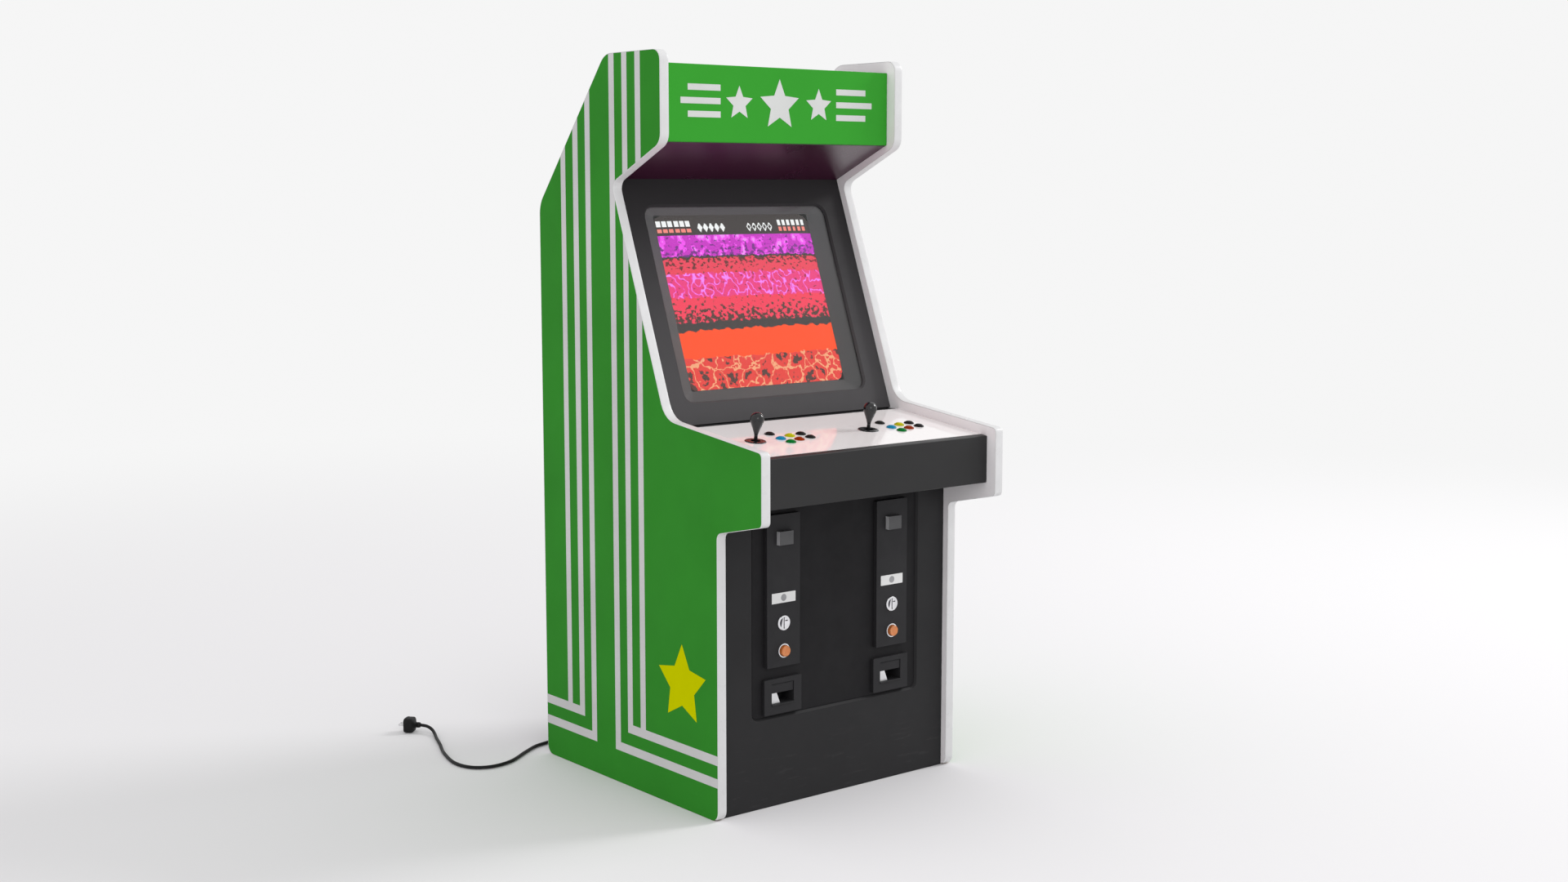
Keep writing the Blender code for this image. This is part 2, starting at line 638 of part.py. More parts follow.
# bat-top handle, heights measured from the pivot
bat = [
    (0.0, 0.0938),
    (0.0055, 0.0929),
    (0.0110, 0.0897),
    (0.0147, 0.0845),
    (0.0158, 0.0785),
    (0.0153, 0.0745),
    (0.0124, 0.0660),
    (0.0087, 0.0565),
    (0.0056, 0.0480),
    (0.0042, 0.0430),
    (0.0042, -0.0185),
    (0.0, -0.0185),
]
ACROSS = Matrix.Rotation(math.pi / 2, 4, "Y")
UPHILL = Matrix.Rotation(-math.pi / 2, 4, "X")
for side, x in STICKS.items():
    place = on_panel(x, STICK_Y)
    pivot = on_panel(x, STICK_Y, PIVOT_H)
    # bezel disc and collar through the panel, mounting plate, and a square well open below
    name = side + "_joystick_base"
    base = cylinders(name, AXIS, 0.0245, FIT, 0.0020, 24, base_black, place, top_radius=0.0238)
    join(base, cylinders(side + "_collar_stub_piece", AXIS, 0.0140, -0.0200, 0.0010, 24, place=place))
    join(base, box(side + "_plate_piece", (-0.032, -0.032, -0.0215), (0.032, 0.032, -0.0185), place=place))
    join(base, box(side + "_well_piece", (-0.022, -0.022, -0.048), (0.022, 0.022, -0.0200), place=place))
    cut(base, box(side + "_well_cutter", (-0.019, -0.019, -0.060), (0.019, 0.019, -0.0215), place=place))
    cut(base, cylinders(side + "_bore_cutter", AXIS, BORE_R, -0.03, 0.02, 24, place=place))
    cut(base, cylinders(side + "_axle_hole_cutter", AXIS, 0.0021, -0.03, 0.03, 10, place=pivot @ ACROSS))

    low, high = (-0.0110, -0.0110, -0.0040), (0.0110, 0.0110, 0.0040)
    gimbal = box(side + "_joystick_gimbal", low, high, steel, pivot)
    join(gimbal, cylinders(side + "_axle_piece", AXIS, 0.0018, -0.0212, 0.0212, 10, place=pivot @ ACROSS))
    cut(gimbal, box(side + "_gimbal_cutter", (-0.0080, -0.0080, -0.01), (0.0080, 0.0080, 0.01), place=pivot))
    cut(gimbal, cylinders(side + "_cross_hole_cutter", AXIS, 0.0018, -0.03, 0.03, 10, place=pivot @ UPHILL))

    handle = turned(side + "_joystick_handle", bat, 20, stick_black, pivot)
    pin_place = pivot @ UPHILL
    join(handle, cylinders(side + "_cross_pin_piece", AXIS, 0.0015, -0.0112, 0.0112, 10, place=pin_place))

# ------------------------------------------------------------------ buttons
housing_black = material("housing_black", (0.02, 0.02, 0.02), 0.3)
cap = [(0.0, 0.0060), (0.0050, 0.0057), (0.0084, 0.0042), (0.0084, -0.0140), (0.0, -0.0140)]
for side, spots in button_spots.items():
    centres = list(spots.values())
    low = np.min(centres, axis=0) - 0.0135
    high = np.max(centres, axis=0) + 0.0135
    # barrels with a rim above the panel, held by one plate below it
    low, high = (*low, -0.0200), (*high, -0.0184)
    bank = box(side + "_button_housings", low, high, housing_black, panel_place)
    join(bank, cylinders(side + "_barrel_piece", centres, 0.0100, -0.0240, 0.0015, 16, place=panel_place))
    name = side + "_rim_piece"
    join(bank, cylinders(name, centres, 0.0121, FIT, 0.0030, 16, place=panel_place, top_radius=0.0108))
    cut(bank, cylinders(side + "_bore_cutter", centres, 0.0088, -0.0300, 0.0100, 16, place=panel_place))
    for name, centre in spots.items():
        colour = material(side + "_" + name, COLOURS[name], 0.25)
        turned(side + "_" + name, cap, 16, colour, panel_place @ Matrix.Translation((*centre, 0.0)))

# ------------------------------------------------------------------ pieces inside
lamp_white = material("lamp_white", (0.75, 0.75, 0.72), 0.3)
lamp = box("marquee_lamp", (-0.262, 0.0520, 1.6280), (0.262, 0.0880, 1.6532), lamp_white)
holders = [((a, 0.0550, 1.5850), (a + 0.014, 0.0850, 1.6300)) for a in (-0.262, 0.248)]
join(lamp, blocks("lamp_holder_piece", holders))
join(lamp, cylinders("lamp_tube_piece", AXIS, 0.0130, -0.250, 0.250, 12, place=along_x((0.0, 0.070, 1.6040))))

cash_grey = material("cash_box_grey", (0.25, 0.26, 0.27), 0.4, 0.6)
cash = box("cash_box", (-0.1300, -0.2200, 0.0583), (0.1300, -0.0200, 0.1900), cash_grey)
cut(cash, box("cash_cutter", (-0.1270, -0.2170, 0.0613), (0.1270, -0.0230, 0.2500)))

board_green = material("board_green", (0.02, 0.12, 0.06), 0.5)
board = box("game_board", (-0.3220, 0.0500, 0.3400), (-0.3200, 0.3500, 0.7000), board_green)
chips = [
    ((-0.3205, y, z), (-0.3150, y + 0.045, z + 0.016))
    for y in (0.075, 0.180, 0.285)
    for z in (0.40, 0.50, 0.60)
]
chips += [((-BOARD_X, y, z), (-0.3210, y + 0.008, z + 0.008)) for y in (0.060, 0.332) for z in (0.350, 0.682)]
join(board, blocks("chip_piece", chips))

supply_steel = material("supply_steel", (0.45, 0.45, 0.46), 0.4, 1.0)
supply = box("power_supply", (-0.3000, 0.1400, 0.0583), (-0.1400, 0.3400, 0.1400), supply_steel)
cut(supply, box("supply_cutter", (-0.2985, 0.1415, 0.0500), (-0.1415, 0.3385, 0.1385)))

# ------------------------------------------------------------------ cord
rubber = material("cord_rubber", (0.015, 0.015, 0.016), 0.5)
relief_place = out_of_back(CORD_EXIT)
boot = [
    (0.0, 0.0400),
    (0.0060, 0.0400),
    (0.0075, 0.0200),
    (0.0090, 0.0036),
    (0.0140, 0.0030),
    (0.0140, FIT),
    (0.0091, FIT),
    (0.0091, -0.0120),
    (0.0, -0.0120),
]
relief = turned("strain_relief", boot, 16, rubber, relief_place)
cut(relief, cylinders("relief_cutter", AXIS, CORD_R + 0.0005, -0.0200, 0.0600, 16, place=relief_place))


def smooth_path(knots, spacing):
    """Points along a centripetal Catmull-Rom curve through the knots."""
    points = [Vector(k) for k in knots]
    points = [points[0] * 2 - points[1]] + points + [points[-1] * 2 - points[-2]]
    path = []
    for a, b, c, d in zip(points, points[1:], points[2:], points[3:]):
        t1 = (b - a).length ** 0.5
        t2 = t1 + (c - b).length ** 0.5
        t3 = t2 + (d - c).length ** 0.5
        steps = max(1, round((c - b).length / spacing))
        for k in range(steps):
            t = t1 + (t2 - t1) * k / steps
            ab = a * ((t1 - t) / t1) + b * (t / t1)
            bc = b * ((t2 - t) / (t2 - t1)) + c * ((t - t1) / (t2 - t1))
            cd = c * ((t3 - t) / (t3 - t2)) + d * ((t - t2) / (t3 - t2))
            abc = ab * ((t2 - t) / t2) + bc * (t / t2)
            bcd = bc * ((t3 - t) / (t3 - t1)) + cd * ((t - t1) / (t3 - t1))
            path.append(abc * ((t2 - t) / (t2 - t1)) + bcd * ((t - t1) / (t2 - t1)))
    path.append(points[-2])
    return path


route = smooth_path(CORD_KNOTS, 0.020)
curve = bpy.data.curves.new("power_cord", "CURVE")
curve.dimensions = "3D"
curve.bevel_depth = CORD_R
curve.bevel_resolution = 2
curve.use_fill_caps = True
line = curve.splines.new("POLY")
line.points.add(len(route) - 1)
for point, place in zip(line.points, route):
    point.co = (*place, 1.0)
curve.materials.append(rubber)
parts.objects.link(bpy.data.objects.new("power_cord", curve))

# plug, lying on the floor where the cord ends
heading = (route[-1] - route[-2]).normalized()
heading.z = 0.0
heading.normalize()
plug_place = frame(route[-1] + heading * 0.0005, heading, Vector((0, 0, 1)).cross(heading), Vector((0, 0, 1)))
# (distance along, half size, corner radius)
plug_steps = [
    (0.000, 0.0065, 0.0050),
    (0.014, 0.0090, 0.0060),
    (0.016, 0.0150, 0.0070),
    (0.020, 0.0185, 0.0080),
    (0.038, 0.0185, 0.0080),
    (0.040, 0.0170, 0.0070),
]
plug_loops = [
    [(x, y, z) for y, z in oblong(half, (-half, half), radius, 3)] for x, half, radius in plug_steps
]
plug = loft("power_plug", plug_loops, rubber, plug_place)
blades = [((0.0380, y, -0.0032), (0.0570, y + 0.0015, 0.0032)) for y in (-0.0072, 0.0057)]
join(plug, blocks("blade_piece", blades, place=plug_place))
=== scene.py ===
"""The looks of an upright two-player arcade cabinet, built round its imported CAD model.

Metres, in the model's own frame: +X right seen from the front, the front faces -Y, +Z up, and the origin
on the floor near the cabinet's middle.
"""

import json
import math

import bmesh
import bpy
import numpy as np
from mathutils import Matrix, Vector


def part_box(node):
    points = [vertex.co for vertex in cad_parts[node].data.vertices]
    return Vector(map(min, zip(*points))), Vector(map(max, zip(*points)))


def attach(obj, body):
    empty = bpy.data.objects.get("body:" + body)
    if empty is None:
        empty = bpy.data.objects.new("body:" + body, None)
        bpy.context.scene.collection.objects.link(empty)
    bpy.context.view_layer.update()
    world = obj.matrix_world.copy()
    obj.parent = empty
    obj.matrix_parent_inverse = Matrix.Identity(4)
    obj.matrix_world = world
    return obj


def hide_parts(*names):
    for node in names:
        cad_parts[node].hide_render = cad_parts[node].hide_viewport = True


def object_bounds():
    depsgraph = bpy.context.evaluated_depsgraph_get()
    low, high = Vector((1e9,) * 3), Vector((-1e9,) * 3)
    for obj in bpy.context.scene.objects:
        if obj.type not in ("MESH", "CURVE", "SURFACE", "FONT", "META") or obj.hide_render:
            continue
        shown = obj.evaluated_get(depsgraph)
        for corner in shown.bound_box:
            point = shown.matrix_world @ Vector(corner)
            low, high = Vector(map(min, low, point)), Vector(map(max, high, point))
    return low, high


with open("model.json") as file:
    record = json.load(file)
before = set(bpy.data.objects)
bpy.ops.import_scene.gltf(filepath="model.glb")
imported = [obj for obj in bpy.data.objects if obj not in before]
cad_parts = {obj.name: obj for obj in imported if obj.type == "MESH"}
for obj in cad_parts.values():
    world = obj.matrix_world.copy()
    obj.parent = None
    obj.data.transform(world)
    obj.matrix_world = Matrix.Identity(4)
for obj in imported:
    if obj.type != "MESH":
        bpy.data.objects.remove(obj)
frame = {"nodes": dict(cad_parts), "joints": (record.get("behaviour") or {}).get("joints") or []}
cad_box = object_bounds()
NODES = frame["nodes"]
JOINTS = {joint["name"]: joint for joint in frame["joints"]}
HERE = Matrix.Identity(4)
SIDES = ("left", "right")


def put_in(name, data):
    """A new object in the scene."""
    obj = bpy.data.objects.new(name, data)
    bpy.context.scene.collection.objects.link(obj)
    return obj


def mesh_of(name, work):
    mesh = bpy.data.meshes.new(name)
    work.to_mesh(mesh)
    work.free()
    return mesh


def pin_of(joint):
    return Vector(JOINTS[joint]["pos_m"])


# --- camera
CAMERA_AT = (-2.8815, -3.628, 1.3975)
CAMERA_TURN = math.radians(38.94)  # to the right of straight ahead
CAMERA_DROP = math.radians(7.373)  # below the horizon
LENS_MM = 44.87

camera = put_in("camera", bpy.data.cameras.new("camera"))
camera.data.lens = LENS_MM
camera.data.clip_end = 200.0
camera.location = CAMERA_AT
camera.rotation_euler = (math.pi / 2 - CAMERA_DROP, 0.0, -CAMERA_TURN)
bpy.context.scene.camera = camera


# --- nodes of a material
class Paint:
    """Builds one procedural material round its Principled shader, in the model's own coordinates."""

    def __init__(self, name, slot=None, **values):
        self.material = bpy.data.materials.new(name)
        self.material.use_nodes = True
        if slot:
            self.material["slot"] = slot
        self.tree = self.material.node_tree
        self.shader = self.tree.nodes["Principled BSDF"]
        self.where = self.tree.nodes.new("ShaderNodeTexCoord").outputs["Object"]
        self.set(**values)

    def add(self, kind, inputs, out=0, **settings):
        """Adds a node and gives the output of a number or name."""
        node = self.tree.nodes.new("ShaderNode" + kind)
        for key, value in settings.items():
            setattr(node, key, value)
        for key, value in inputs.items():
            self.feed(node.inputs[key], value)
        return node.outputs[out]

    def feed(self, socket, value):
        if isinstance(value, bpy.types.NodeSocket):
            self.tree.links.new(value, socket)
        elif isinstance(value, tuple) and len(value) == 3 and socket.type == "RGBA":
            socket.default_value = (*value, 1.0)
        else:
            socket.default_value = value

    def set(self, **values):
        for key, value in values.items():
            self.feed(self.shader.inputs[key.replace("_", " ")], value)

    def surface(self, shader):
        """Shows another shader than the Principled one."""
        self.tree.links.new(shader, self.tree.nodes["Material Output"].inputs["Surface"])

    def math(self, operation, *values):
        return self.add("Math", dict(enumerate(values)), operation=operation)

    def axis(self, k):
        return self.add("SeparateXYZ", {0: self.where}, k)

    def along(self, direction, origin):
        """How far a point lies along a direction, from an origin."""
        offset = self.add("VectorMath", {0: self.where, 1: tuple(origin)}, operation="SUBTRACT")
        return self.add("VectorMath", {0: offset, 1: tuple(direction)}, "Value", operation="DOT_PRODUCT")

    def noise(self, scale, detail=3.0, stretch=(1.0, 1.0, 1.0), where=None, rough=0.55):
        place = self.add("Mapping", {"Vector": where or self.where, "Scale": stretch})
        return self.add("TexNoise", {"Vector": place, "Scale": scale, "Detail": detail, "Roughness": rough})

    def step(self, value, low, high, to=(0.0, 1.0)):
        """A smooth rise from to[0] at low to to[1] at high."""
        inputs = {"Value": value, "From Min": low, "From Max": high, "To Min": to[0], "To Max": to[1]}
        return self.add("MapRange", inputs, interpolation_type="SMOOTHSTEP")

    def spread(self, value, low, high):
        """A noise's middle range stretched over low to high."""
        return self.add("MapRange", {"Value": value, 1: 0.3, 2: 0.7, 3: low, 4: high})

    def mix(self, share, a, b):
        return self.add("Mix", {0: share, 6: a, 7: b}, 2, data_type="RGBA")

    def tint(self, colour, amount, scale):
        """A colour that drifts lighter and darker by an amount, over patches of a scale."""
        dark = tuple(c * (1 - amount) for c in colour)
        light = tuple(min(1.0, c * (1 + amount)) for c in colour)
        return self.mix(self.spread(self.noise(scale), 0.0, 1.0), dark, light)

    def bump(self, height, depth):
        self.set(Normal=self.add("Bump", {"Height": height, "Distance": depth, "Strength": 1.0}))

    def gloss(self, low, high, scale=9.0):
        """Roughness from low to high in soft patches."""
        self.set(Roughness=self.spread(self.noise(scale), low, high))


def board(name, slot, colour, gloss, grain=1100.0, depth=0.00006, worn=0.25, shine=0.25):
    """Laminated board: fine pebbled grain, soft patches in its sheen, and scuffs towards the floor."""
    paint = Paint(name, slot, Specular_IOR_Level=shine)
    scuffs = paint.noise(14.0, 6.0, (1.0, 1.0, 7.0), rough=0.7)
    low_down = paint.step(paint.axis(2), 0.02, 0.22, (1.0, 0.0))
    marks = paint.math("MULTIPLY", paint.step(scuffs, 0.56, 0.7, (0.0, worn)), low_down)
    base = paint.tint(colour, 0.06, 5.0)
    lighter = tuple(min(1.0, c * 1.3 + 0.03) for c in colour)
    paint.set(Base_Color=paint.mix(marks, base, lighter))
    paint.gloss(*gloss)
    paint.bump(paint.noise(grain, 2.0), depth)
    return paint.material


def moulded(name, slot, colour, gloss, grain=1500.0, depth=0.00004, shine=0.3, drift=0.06):
    """Moulded plastic: a fine spark-eroded grain under a soft sheen."""
    paint = Paint(name, slot, Specular_IOR_Level=shine)
    paint.set(Base_Color=paint.tint(colour, drift, 22.0))
    paint.gloss(*gloss, scale=30.0)
    paint.bump(paint.noise(grain, 2.0), depth)
    return paint.material


def polished(name, slot, colour, gloss, drift=0.1, shine=0.5):
    """Shiny plastic: faint orange peel and hairline wear in the gloss."""
    paint = Paint(name, slot, Specular_IOR_Level=shine)
    paint.set(Base_Color=paint.tint(colour, drift, 60.0))
    hairs = paint.noise(300.0, 3.0, (1.0, 9.0, 1.0))
    paint.set(Roughness=paint.spread(hairs, *gloss))
    paint.bump(paint.noise(260.0, 1.0), 0.00002)
    return paint.material


def metal(name, slot, colour, gloss, stretch=(1.0, 1.0, 14.0), depth=0.00002):
    """Metal with a brushed or polished grain along one axis."""
    paint = Paint(name, slot, Metallic=1.0)
    paint.set(Base_Color=paint.tint(colour, 0.07, 35.0))
    lines = paint.noise(420.0, 3.0, stretch)
    paint.set(Roughness=paint.spread(lines, *gloss))
    paint.bump(lines, depth)
    return paint.material


GREEN = (0.029, 0.226, 0.0205)
SIDE_ART_GREY = (0.58, 0.572, 0.578)
FRONT_ART_GREY = (0.6, 0.61, 0.6)
STAR_YELLOW = (0.545, 0.558, 0.0)
INNER_WHITE = (0.885, 0.855, 0.87)
KICK_BLACK = (0.0212, 0.0208, 0.022)
FRONT_BLACK = (0.0225, 0.0222, 0.0228)
# the hood's black carries a purple-pink tint: a painted reflection of the picture's glow
HOOD_BLACK_PAINTED_GLOW = (0.036, 0.004, 0.02)
BATTEN_BLACK = (0.018, 0.018, 0.019)
TRIM_GREY = (0.655, 0.655, 0.66)
DOOR_BLACK = (0.0125, 0.012, 0.0132)
PLATE_BLACK = (0.0225, 0.022, 0.0238)
RUBBER_BLACK = (0.0075, 0.0075, 0.008)
# painted light and shade: a shade for the piece's foot and one for its head; the bezel's lighter foot paints
# the light thrown up from the white control panel
BEZEL_PAINTED_SHADES = (0.071, 0.068, 0.071), (0.027, 0.025, 0.027)
MASK_PAINTED_SHADES = (0.089, 0.085, 0.088), (0.122, 0.116, 0.12)

side_green = board("side_green", "side_green", GREEN, (0.42, 0.55), depth=0.00003, worn=0.08, shine=0.03)
inner_white = board("inner_white", "trim_grey", INNER_WHITE, (0.35, 0.5), worn=0.2)
art_grey = board("art_grey", "trim_grey", SIDE_ART_GREY, (0.4, 0.52), worn=0.05, shine=0.05)
front_art_grey = board("front_art_grey", "trim_grey", FRONT_ART_GREY, (0.4, 0.52), worn=0.0, shine=0.1)
art_yellow = board("art_yellow", None, STAR_YELLOW, (0.4, 0.52), worn=0.0, shine=0.0)
kick_black = board("kick_black", "black_board", KICK_BLACK, (0.5, 0.65), shine=0.15)
front_black = board("front_black", "black_board", FRONT_BLACK, (0.38, 0.5), worn=0.1, shine=0.2)
hood_black = board("hood_black", "hood_black", HOOD_BLACK_PAINTED_GLOW, (0.27, 0.3), depth=0.0, worn=0.05, shine=0.55)
batten_black = board("batten_black", "black_board", BATTEN_BLACK, (0.5, 0.65), worn=0.0)

trim_plastic = moulded("trim_plastic", "trim_grey", TRIM_GREY, (0.25, 0.38), 900.0, drift=0.03)
door_black = moulded("door_black", "door_black", DOOR_BLACK, (0.5, 0.65), 700.0, 0.00006, shine=0.12)
plate_black = moulded("plate_black", "plate_black", PLATE_BLACK, (0.45, 0.6), shine=0.15)
block_grey = moulded("block_grey", "plate_black", (0.078, 0.078, 0.081), (0.4, 0.55))
# painted light: a lighter grey for the plate block's left face, which sits in deep shade
block_lit_side = moulded("block_lit_side", "plate_black", (0.38, 0.38, 0.39), (0.4, 0.55))
label_white = moulded("label_white", None, (0.7, 0.7, 0.695), (0.3, 0.4), drift=0.03)
label_grey = moulded("label_grey", None, (0.3, 0.3, 0.31), (0.3, 0.4), drift=0.15)
cash_grey = moulded("cash_grey", "cash_box_grey", (0.2, 0.21, 0.22), (0.35, 0.5), 600.0, 0.00012)
rubber = moulded("rubber", "cord_rubber", RUBBER_BLACK, (0.45, 0.6), 2200.0, 0.00006, shine=0.2)
lamp_white = moulded("lamp_white", "lamp_white", (0.7, 0.7, 0.67), (0.3, 0.45))

chrome = metal("chrome", "chrome", (0.74, 0.74, 0.76), (0.06, 0.16), depth=0.000005)
steel = metal("steel", "steel", (0.55, 0.55, 0.56), (0.24, 0.42))
bright_steel = metal("bright_steel", "steel", (0.75, 0.75, 0.76), (0.35, 0.5), (14.0, 1.0, 1.0))
dull_steel = metal("dull_steel", "steel", (0.09, 0.09, 0.1), (0.3, 0.45))
supply_steel = metal("supply_steel", "supply_steel", (0.5, 0.51, 0.52), (0.35, 0.55), (1.0, 12.0, 1.0))

skirt_orange = polished("skirt_orange", "reject_orange", (0.4, 0.105, 0.012), (0.15, 0.3), drift=0.3)
stick_black = polished("stick_black", "stick_black", (0.01, 0.01, 0.011), (0.08, 0.16))
base_black = polished("base_black", "base_black", (0.012, 0.012, 0.013), (0.12, 0.22))


def bare_board():
    """Chipboard: pressed flakes of several browns."""
    paint = Paint("bare_board", "raw_board")
    flakes = paint.add("TexVoronoi", {"Vector": paint.where, "Scale": 190.0, "Randomness": 1.0}, "Color")
    share = paint.add("SeparateColor", {0: flakes})
    paint.set(Base_Color=paint.mix(share, (0.3, 0.19, 0.1), (0.47, 0.34, 0.21)), Roughness=0.8)
    paint.bump(share, 0.0002)
    return paint.material


def plastic_with_painted_light(name, node, foot, head, start, shine):
    """Speckled grey plastic with painted light and shade, drifting from a piece's foot to its head."""
    paint = Paint(name, name, Specular_IOR_Level=shine)
    low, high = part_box(node)
    # painted light and shade, blended from the foot's shade to the head's
    fade = paint.step(paint.axis(2), low.z + start, high.z)
    speckle = paint.spread(paint.noise(900.0, 2.0), 0.0, 0.12)
    paint.set(Base_Color=paint.mix(speckle, paint.mix(fade, foot, head), (0.02, 0.02, 0.02)))
    paint.gloss(0.5, 0.65, 30.0)
    paint.bump(paint.noise(1500.0, 2.0), 0.00001)
    return paint.material


def marquee_sheet():
    """Printed acrylic: an even green with a glossy face."""
    paint = Paint("marquee_sheet", "marquee_green", Specular_IOR_Level=0.06)
    paint.set(Base_Color=paint.tint((0.036, 0.31, 0.027), 0.03, 4.0))
    paint.gloss(0.28, 0.36, 6.0)
    paint.bump(paint.noise(120.0, 1.0), 0.00003)
    return paint.material


def panel_laminate():
    """High-gloss white laminate: slight orange peel, with hairlines and smears spread over its gloss."""
    paint = Paint("panel_laminate", "panel_white", Specular_IOR_Level=0.7)
    paint.set(Base_Color=paint.tint((0.89, 0.86, 0.862), 0.01, 6.0))
    smears = paint.noise(26.0, 5.0, (1.0, 2.5, 1.0), rough=0.65)
    paint.set(Roughness=paint.spread(smears, 0.03, 0.08))
    paint.bump(paint.noise(70.0, 1.0), 0.00003)
    return paint.material


def clear_glass():
    """Plain sheet glass: it passes light straight on and mirrors more at a glancing angle."""
    paint = Paint("clear_glass", "screen_glass")
    smudges = paint.spread(paint.noise(11.0, 5.0, rough=0.7), 0.015, 0.06)
    through = paint.add("BsdfTransparent", {"Color": (0.9, 0.91, 0.91)})
    mirror = paint.add("BsdfGlossy", {"Color": (1.0, 1.0, 1.0), "Roughness": smudges})
    facing = paint.add("LayerWeight", {"Blend": 0.5}, "Facing")
    share = paint.math("MULTIPLY_ADD", paint.math("POWER", facing, 5.0), 0.6, 0.024)
    paint.surface(paint.add("MixShader", {0: share, 1: through, 2: mirror}))
    return paint.material


CHIP_H = 0.0048  # how far down from the chips' tops their black reaches


def circuit_board():
    """Green lacquer with copper tracks below, black chips standing on it."""
    paint = Paint("circuit_board", "board_green")
    flat = paint.add("Mapping", {"Vector": paint.where, "Rotation": (0.0, math.pi / 2, 0.0)})
    tracks = paint.add("TexBrick", {"Vector": flat, "Scale": 60.0, "Mortar Size": 0.03}, "Fac")
    lacquer = paint.mix(tracks, (0.015, 0.13, 0.05), (0.05, 0.24, 0.09))
    chip_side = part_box("game_board")[1].x - CHIP_H
    on_chip = paint.math("GREATER_THAN", paint.axis(0), chip_side)
    paint.set(Base_Color=paint.mix(on_chip, lacquer, (0.018, 0.018, 0.019)))
    paint.gloss(0.3, 0.5, 40.0)
    paint.bump(tracks, 0.00008)
    return paint.material


# --- building pieces
def finish_piece(name, work, mat, body="cabinet", stands_for=(), sharp=35, soft=()):
    """Turns a bmesh into a piece that wears a material, rides on a body and stands for CAD nodes.

    Its edges stay crisp above the sharp angle, or are rounded by the values in soft.
    """
    bmesh.ops.recalc_face_normals(work, faces=work.faces)
    mesh = mesh_of(name, work)
    mesh.materials.append(mat)
    mesh.shade_smooth()
    if not soft:
        mesh.set_sharp_from_angle(angle=math.radians(sharp))
    obj = dress(put_in(name, mesh), body, stands_for)
    if soft:
        soften(obj, *soft)
    return obj


def dress(obj, body, stands_for=()):
    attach(obj, body)
    if stands_for:
        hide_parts(*stands_for)
    return obj


def soften(obj, width, segments=3, angle=40):
    """Rounds the edges of a piece, keeping its flats flat."""
    bevel = obj.modifiers.new("soften", "BEVEL")
    bevel.width = width
    bevel.segments = segments
    bevel.limit_method = "ANGLE"
    bevel.angle_limit = math.radians(angle)
    bevel.harden_normals = True
    return obj


def block(low, high, place=HERE, work=None):
    """A box between two corners. Like the builders below, it starts a mesh or adds to the one given."""
    work = work or bmesh.new()
    low, high = Vector(low), Vector(high)
    size = Matrix.Diagonal((*(high - low), 1.0))
    bmesh.ops.create_cube(work, size=1.0, matrix=place @ Matrix.Translation((low + high) / 2) @ size)
    return work


def slab(points, low, high, place=HERE, work=None):
    """A flat plate: an outline in the place's XY plane, from one height to another."""
    work = work or bmesh.new()
    floor = [work.verts.new(place @ Vector((x, y, low))) for x, y in points]
    roof = [work.verts.new(place @ Vector((x, y, high))) for x, y in points]
    work.faces.new(roof)
    work.faces.new(floor[::-1])
    for k in range(len(points)):
        nxt = (k + 1) % len(points)
        work.faces.new((floor[k], floor[nxt], roof[nxt], roof[k]))
    return work


def lathe(profile, place, steps=64, work=None):
    """A turned shape. Its (radius, height) points run down the outer side; a closed run makes a ring."""
    work = work or bmesh.new()
    rings = []
    for radius, height in profile:
        if radius < 1e-6:
            rings.append([work.verts.new(place @ Vector((0.0, 0.0, height)))] * steps)
            continue
        turns = [2 * math.pi * k / steps for k in range(steps)]
        spots = [Vector((radius * math.cos(t), radius * math.sin(t), height)) for t in turns]
        rings.append([work.verts.new(place @ spot) for spot in spots])
    if profile[0] == profile[-1]:
        for vert in rings[-1]:
            work.verts.remove(vert)
        rings[-1] = rings[0]
    for upper, lower in zip(rings, rings[1:]):
        for k in range(steps):
            nxt = (k + 1) % steps
            work.faces.new(list(dict.fromkeys((upper[k], lower[k], lower[nxt], upper[nxt]))))
    return work


def rod(radius, low, high):
    """The profile of a plain round bar."""
    return [(0.0, high), (radius, high), (radius, low), (0.0, low)]


def skin(loops):
    """A closed surface through loops of equal count, capped at both ends."""
    work = bmesh.new()
    rows = [[work.verts.new(point) for point in loop] for loop in loops]
    work.faces.new(rows[0][::-1])
    work.faces.new(rows[-1])
    for low, high in zip(rows, rows[1:]):
        for k in range(len(low)):
            nxt = (k + 1) % len(low)
            work.faces.new((low[k], low[nxt], high[nxt], high[k]))
    return work


def mm(*points):
    """Points given in millimetres."""
    return [(a / 1000, b / 1000) for a, b in points]


def arc_points(centre, radius, start, end, steps):
    """Points of an arc, from one angle to another."""
    angles = [start + (end - start) * k / steps for k in range(steps + 1)]
    return [(centre[0] + radius * math.cos(a), centre[1] + radius * math.sin(a)) for a in angles]


def oblong(half_a, half_b, radius, steps=6):
    """Points round a rectangle with rounded corners."""
    points = []
    for k, (a, b) in enumerate(((1, 1), (-1, 1), (-1, -1), (1, -1))):
        middle = (a * (half_a - radius), b * (half_b - radius))
        points += arc_points(middle, radius, k * math.pi / 2, (k + 1) * math.pi / 2, steps)
    return points


def combine(work_a, work_b, operation):
    """One solid cut by, kept inside or joined with another."""
    pair = []
    for work in (work_a, work_b):
        bmesh.ops.recalc_face_normals(work, faces=work.faces)
        pair.append(put_in("solid", mesh_of("solid", work)))
    modifier = pair[0].modifiers.new("combine", "BOOLEAN")
    modifier.operation = operation
    modifier.solver = "EXACT"
    modifier.object = pair[1]
    dg = bpy.context.evaluated_depsgraph_get()
    result = bmesh.new()
    result.from_mesh(bpy.data.meshes.new_from_object(pair[0].evaluated_get(dg), depsgraph=dg))
    for obj in pair:
        bpy.data.objects.remove(obj)
    return result


